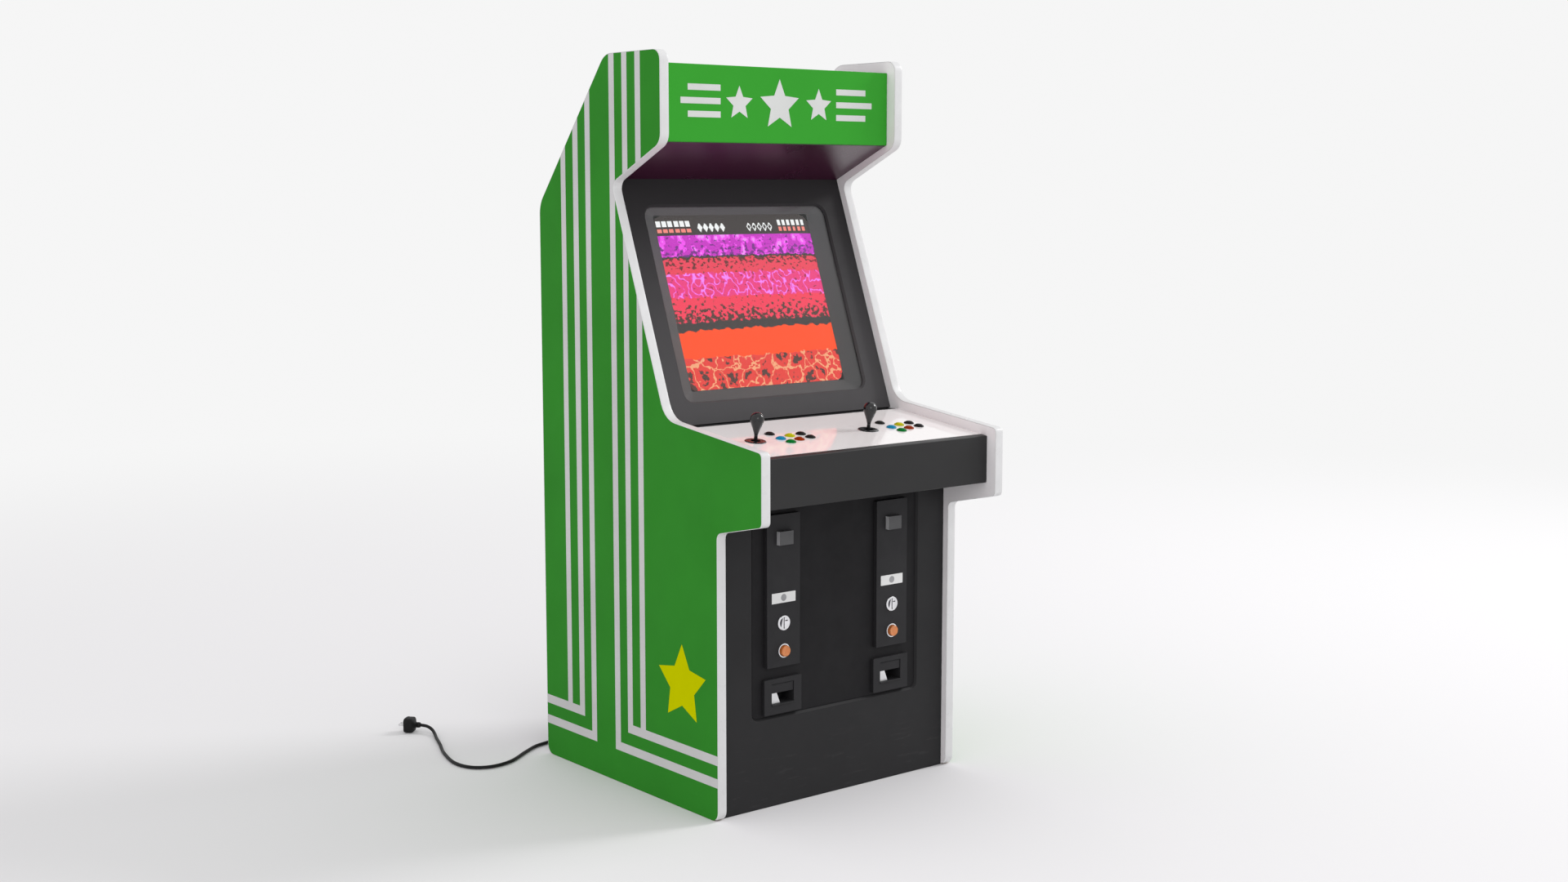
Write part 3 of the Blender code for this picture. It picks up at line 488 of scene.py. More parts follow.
def axes_frame(origin, x_axis, y_axis, z_axis):
    turn = Matrix((x_axis, y_axis, z_axis)).transposed().to_4x4()
    return Matrix.Translation(origin) @ turn


def out_of_front(x, y, z):
    """Frame whose +Z points out of the cabinet's front."""
    return axes_frame(Vector((x, y, z)), (1, 0, 0), (0, 0, 1), (0, -1, 0))


def out_of_back(x, y, z):
    """Frame whose +Z points out of the cabinet's back."""
    return axes_frame(Vector((x, y, z)), (1, 0, 0), (0, 0, -1), (0, 1, 0))


FROM_SIDE = axes_frame(Vector(), (0, 1, 0), (0, 0, 1), (1, 0, 0))  # local X, Y are the cabinet's Y, Z


def centre_of(node):
    low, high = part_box(node)
    return (low + high) / 2


def wear(node, mat, width=0.0):
    """A CAD node keeps its shape and takes a finished material, and softer edges if a width is given."""
    obj = NODES[node]
    for slot in obj.material_slots:
        slot.material = mat
    if width:
        weld = obj.modifiers.new("weld", "WELD")
        weld.merge_threshold = 0.00001
        soften(obj, width, 2)
    return obj


# --- cord and plug
CORD_R = 0.0041
CORD_EXIT = (-0.2, 0.4147, 0.085)
CORD_Z = 0.0045
CORD_KNOTS = [
    (-0.2, 0.4, 0.085), (-0.2, 0.43, 0.085), (-0.2, 0.457, 0.0848), (-0.203, 0.483, 0.075),
    (-0.214, 0.504, 0.05), (-0.235, 0.513, 0.024), (-0.262, 0.512, 0.008), (-0.292, 0.503, CORD_Z),
    (-0.325, 0.4935, CORD_Z), (-0.362, 0.4835, CORD_Z), (-0.4091, 0.4558, CORD_Z),
    (-0.4827, 0.4085, CORD_Z), (-0.5385, 0.4, CORD_Z), (-0.577, 0.421, CORD_Z), (-0.594, 0.472, CORD_Z),
    (-0.574, 0.57, CORD_Z), (-0.542, 0.65, CORD_Z), (-0.521, 0.706, CORD_Z), (-0.508, 0.74, 0.007),
    (-0.504, 0.76, 0.012), (-0.508, 0.779, 0.017), (-0.519, 0.793, 0.019),
]


def smooth_path(knots, spacing):
    """Points along a centripetal Catmull-Rom curve through the knots."""
    points = [Vector(k) for k in knots]
    points = [points[0] * 2 - points[1]] + points + [points[-1] * 2 - points[-2]]
    path = []
    for a, b, c, d in zip(points, points[1:], points[2:], points[3:]):
        t1 = (b - a).length ** 0.5
        t2 = t1 + (c - b).length ** 0.5
        t3 = t2 + (d - c).length ** 0.5
        steps = max(1, round((c - b).length / spacing))
        for k in range(steps):
            t = t1 + (t2 - t1) * k / steps
            share = (t - t1) / (t2 - t1)
            ab = a.lerp(b, t / t1)
            bc = b.lerp(c, share)
            cd = c.lerp(d, (t - t2) / (t3 - t2))
            path.append(ab.lerp(bc, t / t2).lerp(bc.lerp(cd, (t - t1) / (t3 - t1)), share))
    path.append(points[-2])
    return path


def make_cord():
    route = smooth_path(CORD_KNOTS, 0.006)
    leftmost = cad_box[0].x + CORD_R + 0.0001
    for point in route:
        point.x = max(point.x, leftmost)
    curve = bpy.data.curves.new("mains_cord", "CURVE")
    curve.dimensions = "3D"
    curve.bevel_depth = CORD_R
    curve.bevel_resolution = 5
    curve.use_fill_caps = True
    line = curve.splines.new("POLY")
    line.points.add(len(route) - 1)
    for point, spot in zip(line.points, route):
        point.co = (*spot, 1.0)
    line.use_smooth = True
    curve.materials.append(rubber)
    return dress(put_in("mains_cord", curve), "cabinet", ["power_cord"]), route


def plug_steps():
    """Across the plug: (distance along, half size, corner radius), from its ribbed neck to its face."""
    steps = [(0.0, 0.0058, 0.0052), (0.0008, 0.0065, 0.0058)]
    for start in (0.003, 0.006, 0.009):
        steps += [(start, 0.0068, 0.0058), (start + 0.0005, 0.0061, 0.0054)]
        steps += [(start + 0.0013, 0.0063, 0.0055), (start + 0.0018, 0.0072, 0.006)]
    steps += [(0.014, 0.009, 0.007), (0.015, 0.0115, 0.0075), (0.0162, 0.015, 0.008)]
    steps += [(0.018, 0.0174, 0.0086), (0.02, 0.0183, 0.0088)]
    for start in (0.022, 0.026, 0.03):
        steps += [(start, 0.0185, 0.0088), (start + 0.0006, 0.0179, 0.0084)]
        steps += [(start + 0.0018, 0.0179, 0.0084), (start + 0.0024, 0.0185, 0.0088)]
    return steps + [(0.0378, 0.0185, 0.0088), (0.0392, 0.0181, 0.0086), (0.04, 0.0172, 0.008)]


BLADE = [(0.039, -0.0032), (0.0545, -0.0032), (0.057, -0.0018)]
BLADE += [(x, -z) for x, z in reversed(BLADE)]
BLADE_T = 0.0015


def make_plug(route):
    """Moulded plug: a ribbed neck, a body with finger grips, and two flat blades with holes."""
    heading = route[-1] - route[-2]
    heading.z = 0.0
    heading.normalize()
    up = Vector((0, 0, 1))
    place = axes_frame(route[-1] + heading * 0.0005, heading, up.cross(heading), up)
    loops = [[place @ Vector((x, y, z)) for y, z in oblong(h, h, r, 5)] for x, h, r in plug_steps()]
    body = finish_piece("plug_body", skin(loops), rubber, "cabinet", ["power_plug"], 50)
    blades = bmesh.new()
    for y in (-0.0072, 0.0057):
        slab(BLADE, -BLADE_T, 0.0, place @ out_of_front(0.0, y, 0.0), blades)
    holes = lathe(rod(0.0013, -0.05, 0.01), place @ out_of_front(0.0515, -0.02, 0.0), 24)
    blades = combine(blades, holes, "DIFFERENCE")
    return body, finish_piece("plug_blades", blades, bright_steel, sharp=30)


def make_strain_relief():
    """Tapered boot with cut ribs where the cord leaves the rear panel."""
    place = out_of_back(*CORD_EXIT)
    profile = [(0.0048, 0.04), (0.006, 0.0398)]
    for k in range(6):
        height = 0.037 - 0.0052 * k
        radius = 0.0062 + 0.00042 * k
        profile += [(radius, height), (radius - 0.0011, height - 0.0006)]
        profile += [(radius - 0.0009, height - 0.002), (radius + 0.0003, height - 0.0026)]
    profile += [(0.009, 0.0045), (0.0132, 0.0036), (0.014, 0.0028), (0.014, 0.0003)]
    profile += [(0.0091, 0.0003), (0.0091, -0.012), (0.0048, -0.012), (0.0048, 0.04)]
    return finish_piece("cord_boot", lathe(profile, place, 48), rubber, "cabinet", ["strain_relief"])


cord, cord_route = make_cord()
plug_pieces = make_plug(cord_route)
boot = make_strain_relief()


# --- side panels
ART_T = 0.0002  # printed film on the outer face
ART_GAP = 0.00002  # between the film and the board under it
# stripes, as outlines of (y, z) that the panel's own outline trims: one bar wide, or bent twice
TOP = 1.8
FRONT_EDGE = -0.5
REAR_EDGE = 0.6
UPPER = (0.129, 0.1505)
LOWER = (0.0775, 0.0988)
STRIPES = {
    "front_lower": [
        (0.107, TOP), (0.1285, TOP), (0.1285, LOWER[0]), (FRONT_EDGE, LOWER[0]), (FRONT_EDGE, LOWER[1]),
        (0.107, LOWER[1]),
    ],
    "front_upper": [
        (0.056, TOP), (0.0763, TOP), (0.0763, UPPER[0]), (FRONT_EDGE, UPPER[0]), (FRONT_EDGE, UPPER[1]),
        (0.0035, UPPER[1]), (0.0035, TOP), (0.0243, TOP), (0.0243, UPPER[1]), (0.056, UPPER[1]),
    ],
    "rear_lower": [
        (0.2085, TOP), (0.2293, TOP), (0.2293, LOWER[1]), (REAR_EDGE, LOWER[1]), (REAR_EDGE, LOWER[0]),
        (0.2085, LOWER[0]),
    ],
    "rear_upper": [
        (0.2605, TOP), (0.282, TOP), (0.282, UPPER[1]), (0.3145, UPPER[1]), (0.3145, TOP), (0.3345, TOP),
        (0.3345, UPPER[1]), (REAR_EDGE, UPPER[1]), (REAR_EDGE, UPPER[0]), (0.2605, UPPER[0]),
    ],
}
STAR_AT = (-0.1405, 0.287)
STAR_R = (0.0935, 0.048)


def star_points(centre, outer, inner, tips=5):
    points = []
    for k in range(2 * tips):
        angle = math.pi / 2 + math.pi * k / tips
        radius = inner if k % 2 else outer
        points.append((centre[0] + radius * math.cos(angle), centre[1] + radius * math.sin(angle)))
    return points


def outline_of(node, x):
    """The (y, z) points round a board's face at x, in order."""
    mesh = NODES[node].data
    links = {}
    for face in mesh.polygons:
        if abs(face.normal.x) > 0.5:
            continue
        corners = [mesh.vertices[i].co for i in face.vertices]
        edge = [(round(p.y, 5), round(p.z, 5)) for p in corners if abs(p.x - x) < 1e-5]
        if len(edge) == 2:
            links.setdefault(edge[0], []).append(edge[1])
            links.setdefault(edge[1], []).append(edge[0])
    walk = [min(links)]
    while len(walk) < len(links):
        walk.append(next(p for p in links[walk[-1]] if p not in walk[-2:]))
    return walk


def make_side_board(side, sign, outline, ends):
    """The board: green outside, white inside, bare edges."""
    node = side + "_side_panel"
    work = slab(outline, *sorted(ends), FROM_SIDE)
    panel = finish_piece(side + "_panel_board", work, side_green, "cabinet", [node])
    panel.data.materials.append(inner_white)
    panel.data.materials.append(bare)
    for polygon in panel.data.polygons:
        if abs(polygon.normal.x) < 0.5:
            polygon.material_index = 2
        elif polygon.normal.x * sign < 0:
            polygon.material_index = 1


def make_side(side, sign):
    low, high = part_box(side + "_side_panel")
    outer, inner = (low.x, high.x) if sign < 0 else (high.x, low.x)
    outline = outline_of(side + "_side_panel", outer)
    face = outer - sign * ART_T
    make_side_board(side, sign, outline, (inner, face))
    # printed film, flush with the panel's full thickness
    film = sorted((face + sign * ART_GAP, outer))
    for name, stripe in STRIPES.items():
        trimmer = slab(outline, film[0] - 0.01, film[1] + 0.01, FROM_SIDE)
        art = combine(slab(stripe, *film, FROM_SIDE), trimmer, "INTERSECT")
        finish_piece(f"{side}_{name}_stripe", art, art_grey)
    star = slab(star_points(STAR_AT, *STAR_R), *film, FROM_SIDE)
    finish_piece(side + "_star", star, art_yellow)
    make_moulding(side, outline, (outer + inner) / 2)


TRIM_HALF = 0.012
# across half of the moulding: (share of its half width, height above the board's edge)
TRIM_CROWN = [(0.35, 0.0016), (0.7, 0.00156), (0.88, 0.00142), (0.965, 0.0011), (1.0, 0.0007), (1.0, 0.0002)]
TRIM_SECTION = [(-share, height) for share, height in reversed(TRIM_CROWN)] + TRIM_CROWN
FLOOR_GAP = 0.0035  # the moulding stops this far above the floor


def make_moulding(side, outline, middle):
    """Plastic edge moulding with a low crown, from the front foot over the top to the rear foot."""
    points = [np.array(p) for p in outline]
    area = sum(a[0] * b[1] - b[0] * a[1] for a, b in zip(points, points[1:] + points[:1]))
    if area > 0:
        points.reverse()  # clockwise, so that the outward normal lies to the left of the walk
    spots = []
    for k, here in enumerate(points):
        before = here - points[k - 1]
        after = points[(k + 1) % len(points)] - here
        before /= np.linalg.norm(before)
        after /= np.linalg.norm(after)
        both = before + after
        normal = np.array((-both[1], both[0])) / np.linalg.norm(both)
        stretch = 1 / math.sqrt((1 + before @ after) / 2)
        spots.append((here, normal * stretch))
    low = [k for k, (here, _) in enumerate(spots) if here[1] < FLOOR_GAP]
    first = next(k for k in low if (k + 1) % len(spots) not in low) + 1
    run = [spots[(first + k) % len(spots)] for k in range(len(spots) - len(low))]
    loops = []
    for here, normal in run:
        rim = [(middle + share * TRIM_HALF, *(here + normal * height)) for share, height in TRIM_SECTION]
        loops.append([Vector(p) for p in rim])
    finish_piece(side + "_edge_trim", skin(loops), trim_plastic, "cabinet", [side + "_t_moulding"], 50)


bare = bare_board()
for side, sign in (("left", -1), ("right", 1)):
    make_side(side, sign)


# --- boards that keep their CAD shape
for name in ("kick_panel", "rear_panel", "rear_door", "rear_slope_panel", "top_board"):
    wear(name, kick_black, 0.0006)
for name in ("control_panel_front", "control_panel_bottom", "bezel_rail"):
    wear(name, front_black, 0.001)
wear("bottom_board", bare)
wear("hood_panel", hood_black, 0.0006)
wear("marquee_panel", marquee_sheet())
wear("control_panel_top", panel_laminate())
wear("monitor_bezel", plastic_with_painted_light("bezel_grey", "monitor_bezel", *BEZEL_PAINTED_SHADES, 0.0, 0.07))
wear("screen_mask", plastic_with_painted_light("mask_grey", "screen_mask", *MASK_PAINTED_SHADES, 0.1, 0.3))
wear("screen_glass", clear_glass())
wear("coin_door", door_black, 0.0006)
wear("cash_box", cash_grey, 0.001)
wear("game_board", circuit_board())
wear("power_supply", supply_steel)
wear("marquee_lamp", lamp_white)
for side in SIDES:
    wear(side + "_joystick_gimbal", steel)


# --- marquee art
ART_RAISE = 0.0004
MARQUEE_STARS = ((0.0, 0.06), (-0.118, 0.04), (0.118, 0.04))  # (place across, radius)
BARS_FROM = 0.172
BAR_ROWS = ((-0.03, 0.092), (0.0, 0.112), (0.03, 0.092))  # (height, length)
BAR_HALF = 0.007


def make_marquee_art():
    """Plain bars either side of a row of stars, raised slightly from the sheet."""
    low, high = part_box("marquee_panel")
    place = out_of_front(0.0, low.y, (low.z + high.z) / 2 + 0.006)
    art = bmesh.new()
    for x, size in MARQUEE_STARS:
        slab(star_points((x, -size * 0.09), size, size * 0.46), 0.0, ART_RAISE, place, art)
    for sign in (-1, 1):
        near = sign * BARS_FROM
        for row, length in BAR_ROWS:
            ends = sorted((near, near + sign * length))
            block((ends[0], row - BAR_HALF, 0.0), (ends[1], row + BAR_HALF, ART_RAISE), place, art)
    finish_piece("marquee_art", art, front_art_grey)


make_marquee_art()

# --- picture tube
glass_low, glass_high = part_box("screen_glass")
glass_face = max(NODES["screen_glass"].data.polygons, key=lambda p: (round(p.area, 4), -p.normal.y))
OUT = Vector(glass_face.normal)
if OUT.y > 0:
    OUT = -OUT
SLOPE = Vector((0.0, OUT.z, -OUT.y))
SCREEN = axes_frame((glass_low + glass_high) / 2, (1, 0, 0), SLOPE, OUT)
PICTURE_HALF = 0.2318
PICTURE_LOW = -0.2053  # the picture's foot and head, up the slope from the middle of the glass
PICTURE_HIGH = 0.223
TUBE_MID = (PICTURE_LOW + PICTURE_HIGH) / 2
# (half width, half height, squareness, depth behind the middle of the glass)
TUBE_FACE = [
    (t * 0.243, t * 0.224, 2.0 + 7.0 * t**3, 0.0127 + 0.0087 * t * t)
    for t in (0.04, 0.15, 0.3, 0.45, 0.6, 0.72, 0.82, 0.9, 0.96, 1.0)
]
TUBE_BELL = [
    (0.2428, 0.2238, 9.0, 0.026), (0.2428, 0.2238, 9.0, 0.05), (0.24, 0.221, 7.0, 0.068),
    (0.22, 0.203, 5.0, 0.098), (0.175, 0.162, 3.2, 0.147), (0.115, 0.108, 2.4, 0.2),
    (0.065, 0.064, 2.1, 0.237), (0.03, 0.03, 2.0, 0.263), (0.0188, 0.0188, 2.0, 0.2772),
    (0.0188, 0.0188, 2.0, 0.344), (0.015, 0.015, 2.0, 0.3472),
]
TUBE_RIM = (0.243, 0.224, 9.0, 0.0255)
TUBE_STEPS = 72
LUG_X = (0.239, 0.334)  # the mounting lugs' reach from the middle, and their heights up the slope
LUG_UP = (-0.1605, 0.1795)
# deflection yoke: copper windings round the neck's root
YOKE = mm(
    (64, 240), (69, 242.5), (69, 250), (48, 256), (40, 270), (40, 296), (43, 299), (43, 304), (19.5, 304),
    (19.5, 277.2), (31, 264), (64, 240),
)


def squared_ring(half_a, half_b, power, depth):
    """A ring between an ellipse and a rectangle, at a depth behind the glass."""
    ring = []
    for k in range(TUBE_STEPS):
        angle = 2 * math.pi * k / TUBE_STEPS
        c, s = math.cos(angle), math.sin(angle)
        reach = (abs(c) ** power + abs(s) ** power) ** (-1 / power)
        ring.append(SCREEN @ Vector((half_a * c * reach, TUBE_MID + half_b * s * reach, -depth)))
    return ring


PIXEL = 0.00182
GAP = (0.046, 0.036, 0.034)
WHITE = (1.0, 1.0, 1.0)
SALMON = (1.0, 0.27, 0.22)
# the foot of each band of the picture, up the slope from the middle of the glass
EDGES = {
    "score": 0.1725, "purple": 0.1195, "line": 0.1145, "red": 0.077,
    "pink": 0.018, "dusk": -0.043, "gap": -0.062, "ground": -0.129,
}
COUNTER_ROWS = [
    # (from, to, marks, foot, height, width's share, tone, slant)
    (-0.231, -0.129, 6, 0.193, 0.015, 0.74, WHITE, 0.0),
    (-0.231, -0.129, 6, 0.1785, 0.01, 0.74, SALMON, 0.0),
    (-0.113, -0.029, 5, 0.18, 0.022, 0.9, WHITE, 0.8),
    (0.035, 0.115, 5, 0.18, 0.022, 0.9, WHITE, 0.8),
    (0.035, 0.115, 5, 0.184, 0.014, 0.56, GAP, 0.6),
    (0.131, 0.22, 6, 0.193, 0.015, 0.64, WHITE, 0.0),
    (0.131, 0.22, 6, 0.1785, 0.011, 0.6, SALMON, 0.0),
]


class Picture(Paint):
    """A glowing picture in coarse pixels: cloud, hill and ground bands under a row of counters."""

    def __init__(self):
        super().__init__("picture", "tube_glass", Roughness=0.25, Specular_IOR_Level=0.08)
        ways = [self.along(way, SCREEN.translation) for way in ((1, 0, 0), SLOPE)]
        self.across, self.up = [self.math("SNAP", way, PIXEL) for way in ways]
        self.spot = self.add("CombineXYZ", {0: self.across, 1: self.up, 2: 0.0})
        self.fine = self.noise(105.0, 2.0, (0.8, 1.0, 1.0), self.spot, 0.5)
        self.drift = self.add("TexNoise", {"Vector": self.spot, "Scale": 40.0}, "Color")

    def above(self, value, limit):
        return self.math("GREATER_THAN", value, limit)

    def cells(self, scale, bend, feature, stretch=1.0):
        """A cell pattern, bent by noise: how far a point lies from a cell's middle or its edge."""
        bent = self.add("Mix", {0: bend, 4: self.spot, 5: self.drift}, 1, data_type="VECTOR")
        bent = self.add("Mapping", {"Vector": bent, "Scale": (1.0, stretch, 1.0)})
        return self.add("TexVoronoi", {"Vector": bent, "Scale": scale}, "Distance", feature=feature)

    def pitted(self, foot, head, shares, tone, pit):
        """A tone with dark pits, whose share changes from a band's foot to its head."""
        share = self.step(self.up, EDGES[foot], EDGES[head], shares)
        return self.mix(self.above(share, self.fine), tone, pit)

    def cloud(self):
        """Pale lumps with dark creases that thicken towards the band's foot."""
        lumps = self.cells(46.0, 0.03, "F1", 0.75)
        tone = self.mix(self.above(lumps, 0.46), (1.0, 0.08, 0.95), (0.64, 0.02, 0.6))
        tone = self.mix(self.above(0.24, lumps), tone, (1.0, 0.3, 1.0))
        return self.pitted("purple", "score", (0.48, 0.34), tone, (0.2, 0.012, 0.26))

    def curls(self):
        """Bright curls over red."""
        curl = self.noise(50.0, 0.8, (0.9, 0.8, 1.0), self.spot, 0.5)
        tone = self.mix(self.above(0.35, self.fine), (0.93, 0.036, 0.22), (0.36, 0.012, 0.06))
        tone = self.mix(self.math("COMPARE", curl, 0.5, 0.036), tone, (0.98, 0.05, 0.52))
        return self.mix(self.math("COMPARE", curl, 0.5, 0.019), tone, (1.0, 0.26, 1.0))

    def roots(self):
        """Dark cells between pale branching roots."""
        edge = self.cells(23.0, 0.045, "DISTANCE_TO_EDGE")
        pits = self.above(self.math("MULTIPLY", edge, self.fine), 0.135)
        tone = self.mix(pits, (0.88, 0.046, 0.034), (0.09, 0.034, 0.026))
        return self.mix(self.above(0.04, edge), tone, (1.0, 0.42, 0.21))

    def bands(self):
        """The bands from the ground up, with ragged borders."""
        coarse = self.noise(52.0, 2.0, (1.0, 0.8, 1.0), self.spot, 0.55)
        sway = self.math("MULTIPLY_ADD", self.math("SUBTRACT", coarse, 0.5), 0.02, self.up)
        layers = {
            "ground": (1.2, 0.074, 0.0),
            "gap": GAP,
            "dusk": self.pitted("dusk", "pink", (0.53, 0.36), (1.0, 0.042, 0.1), (0.09, 0.034, 0.026)),
            "pink": self.curls(),
            "red": self.pitted("red", "line", (0.36, 0.49), (0.92, 0.05, 0.1), (0.16, 0.02, 0.02)),
            "line": GAP,
            "purple": self.cloud(),
        }
        colour = self.roots()
        for name, layer in layers.items():
            colour = self.mix(self.above(sway, EDGES[name]), colour, layer)
        return self.mix(self.above(self.up, EDGES["score"]), colour, GAP)

    def off_middle(self, value):
        return self.math("ABSOLUTE", self.math("SUBTRACT", value, 0.5))

    def counters(self, colour, low, high, count, foot, height, width, tone, slant):
        """A row of small marks over a colour: squares, or diamonds where a slant is given."""
        place = self.math("DIVIDE", self.math("SUBTRACT", self.across, low), (high - low) / count)
        level = self.math("DIVIDE", self.math("SUBTRACT", self.up, foot), height)
        lean = self.math("MULTIPLY", self.off_middle(level), slant)
        marks = self.above(width / 2, self.math("ADD", self.off_middle(self.math("FRACT", place)), lean))
        marks = self.math("MULTIPLY", marks, self.math("COMPARE", level, 0.5, 0.5))
        in_row = self.math("COMPARE", self.across, (low + high) / 2, (high - low) / 2)
        return self.mix(self.math("MULTIPLY", marks, in_row), colour, tone)


def picture_paint():
    paint = Picture()
    colour = paint.bands()
    for row in COUNTER_ROWS:
        colour = paint.counters(colour, *row)
    in_width = paint.math("COMPARE", paint.across, 0.0, PICTURE_HALF)
    inside = paint.math("MULTIPLY", in_width, paint.above(paint.up, PICTURE_LOW))
    glow = paint.mix(inside, GAP, colour)
    paint.set(Base_Color=(0.015, 0.015, 0.015), Emission_Color=glow, Emission_Strength=1.12)
    return paint.material


def make_tube():
    face = skin([squared_ring(*step) for step in TUBE_FACE + [TUBE_RIM]])
    finish_piece("tube_face", face, picture_paint(), "cabinet", ["picture_tube"], 60)
    bell = skin([squared_ring(*step) for step in TUBE_BELL])
    for sign in (-1, 1):
        near, far = sorted((sign * LUG_X[0], sign * LUG_X[1]))
        for height in LUG_UP:
            block((near, height - 0.015, -0.044), (far, height + 0.015, -0.0325), SCREEN, bell)
    glass = polished("tube_bell", "tube_glass", (0.03, 0.03, 0.033), (0.15, 0.3))
    finish_piece("tube_bell", bell, glass, sharp=40)
    back = SCREEN @ Matrix.Translation((0.0, TUBE_MID, 0.0)) @ Matrix.Rotation(math.pi, 4, "X")
    copper = metal("copper_winding", None, (0.55, 0.24, 0.11), (0.3, 0.5), (1.0, 20.0, 1.0), 0.0002)
    finish_piece("tube_yoke", lathe(YOKE, back, 48), copper, sharp=50)


make_tube()

# --- coin door
DOOR = "coin_door_assembly"
PLATE_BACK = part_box("coin_door")[0].y - 0.0003  # back of the plates that lie on the door
ENTRY_H = 0.0026  # the coin entry's rim above its plate
LIT_ORANGE = (0.56, 0.195, 0.065)


def reject_lens():
    """Moulded orange lens, a little light coming through it."""
    paint = Paint("reject_lens", "reject_orange", Specular_IOR_Level=0.4)
    paint.set(Base_Color=paint.tint(LIT_ORANGE, 0.12, 90.0), Subsurface_Weight=0.25, Subsurface_Scale=0.01)
    paint.set(Emission_Color=(0.8, 0.25, 0.07), Emission_Strength=0.04)
    paint.gloss(0.18, 0.3, 50.0)
    paint.bump(paint.noise(500.0, 2.0), 0.00003)
    return paint.material


# turned parts are given as (radius, height out of the plate's face)
PLATE_CORNER = 0.0025
ENTRY_HOLE = 0.015
BUTTON_HOLE = 0.014
ENTRY = mm(
    (0, 1.6), (10, 1.7), (12.2, 1.9), (13, 2.4), (13.8, 2.6), (15.8, 2.6), (16.8, 2.3), (17.4, 1.6),
    (17.5, 0.3), (14.6, 0.3), (14.6, -7), (0, -7),
)
SLOT_HALF = (0.0013, 0.0132)
NOTCH = (0.003, 0.0035), (0.0105, 0.006)
COLLAR = mm(
    (13.2, 2.2), (13.8, 2.8), (15.2, 2.8), (16.2, 2.2), (16.5, 1.2), (16.5, 0), (13.9, 0), (13.9, -6),
    (13.2, -6), (13.2, 2.2),
)
CAP = mm(
    (0, 9.6), (6, 9.8), (9.8, 10.1), (10.6, 10.5), (11.4, 10.3), (12.2, 9.4), (12.3, 8), (12.3, -4.4),
    (0, -4.4),
)
SKIRT = mm((12, 8.8), (12.8, 8), (12.85, 6), (12.85, -4.5), (12, -4.5), (12, 8.8))
DISC_ON_CARD = mm((0, 0.7), (7.6, 0.7), (8, 0.4), (8, 0.2), (0, 0.2))
BLOCK_HALF = 0.0198
BLOCK_Z = (0.604, 0.6355)
CARD_Z = 0.48225
CARD = (0.0342, 0.01175, 0.001)  # half width, half height, corner radius
MECH_HALF = 0.03
MECH_FRONT = -0.252
MECH_Z = (0.38, 0.6)


def make_mech_plate(side, face, entry_z, button_z):
    """Tall plate, with the holes for the coin entry and the button."""
    node = side + "_coin_mech"
    low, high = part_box(node)
    middle = centre_of(node)
    half = (high - low) / 2
    place = out_of_front(middle.x, PLATE_BACK, middle.z)
    work = slab(oblong(half.x, half.z, PLATE_CORNER), 0.0, PLATE_BACK - face, place)
    for at, radius in ((entry_z, ENTRY_HOLE), (button_z, BUTTON_HOLE)):
        hole = lathe(rod(radius, -0.05, 0.05), out_of_front(middle.x, face, at))
        work = combine(work, hole, "DIFFERENCE")
    finish_piece(side + "_mech_plate", work, plate_black, DOOR, [node], soft=(0.0009, 3, 50))


def make_plate_block(side, x, face, back):
    """Grey block at the top of the plate, its left side a lighter grey: painted light on a face that sits in
    deep shade.
    """
    work = block((x - BLOCK_HALF, back, BLOCK_Z[0]), (x + BLOCK_HALF, face + 0.0005, BLOCK_Z[1]))
    cover = finish_piece(side + "_plate_block", work, block_grey, DOOR, soft=(0.0007,))
    cover.data.materials.append(block_lit_side)
    # the left face takes the lighter grey, as painted light
    for polygon in cover.data.polygons:
        polygon.material_index = int(polygon.normal.x < -0.9)


def make_price_card(side, x, face):
    """White card with a grey disc."""
    place = out_of_front(x, face, CARD_Z)
    card = slab(oblong(*CARD, 3), 0.0, 0.0004, place)
    finish_piece(side + "_price_card", card, label_white, DOOR)
    finish_piece(side + "_card_disc", lathe(DISC_ON_CARD, place), label_grey, DOOR)


def make_coin_entry(side, place):
    """Chrome entry: a raised rim round a dished face, split by its upright slot, with a notch beside it."""
    a, b = SLOT_HALF
    near, far = NOTCH
    work = lathe(ENTRY, place)
    for low, high in (((-a, -b, -0.01), (a, b, 0.01)), ((*near, 0.0006), (*far, 0.01))):
        work = combine(work, block(low, high, place), "DIFFERENCE")
    finish_piece(side + "_coin_entry", work, chrome, DOOR, [side + "_coin_slot"], 28)
    # a dark arc on the dished face, and dark fillings in the slot and the notch that paint the shade inside
    # them
    dark_arc = arc_points((0.0, 0.0), 0.0121, math.radians(108), math.radians(226), 20)
    finish_piece(side + "_entry_dark_arc", slab(dark_arc, 0.001, 0.0022, place), dull_steel, DOOR)
    dark = block((-a, -b, -0.006), (a, b, 0.0012), place)
    block((*near, 0.0004), (*far, 0.001), place, dark)
    finish_piece(side + "_slot_painted_shade", dark, stick_black, DOOR)


def make_reject_button(side, place, lens):
    """Chrome collar, then the lens with a dished middle and its skirt."""
    body = side + "_reject_button"
    finish_piece(side + "_button_collar", lathe(COLLAR, place), chrome, DOOR)
    finish_piece(side + "_reject_lens", lathe(CAP, place), lens, body, [body], 50)
    finish_piece(side + "_lens_skirt", lathe(SKIRT, place), skirt_orange, body, sharp=50)


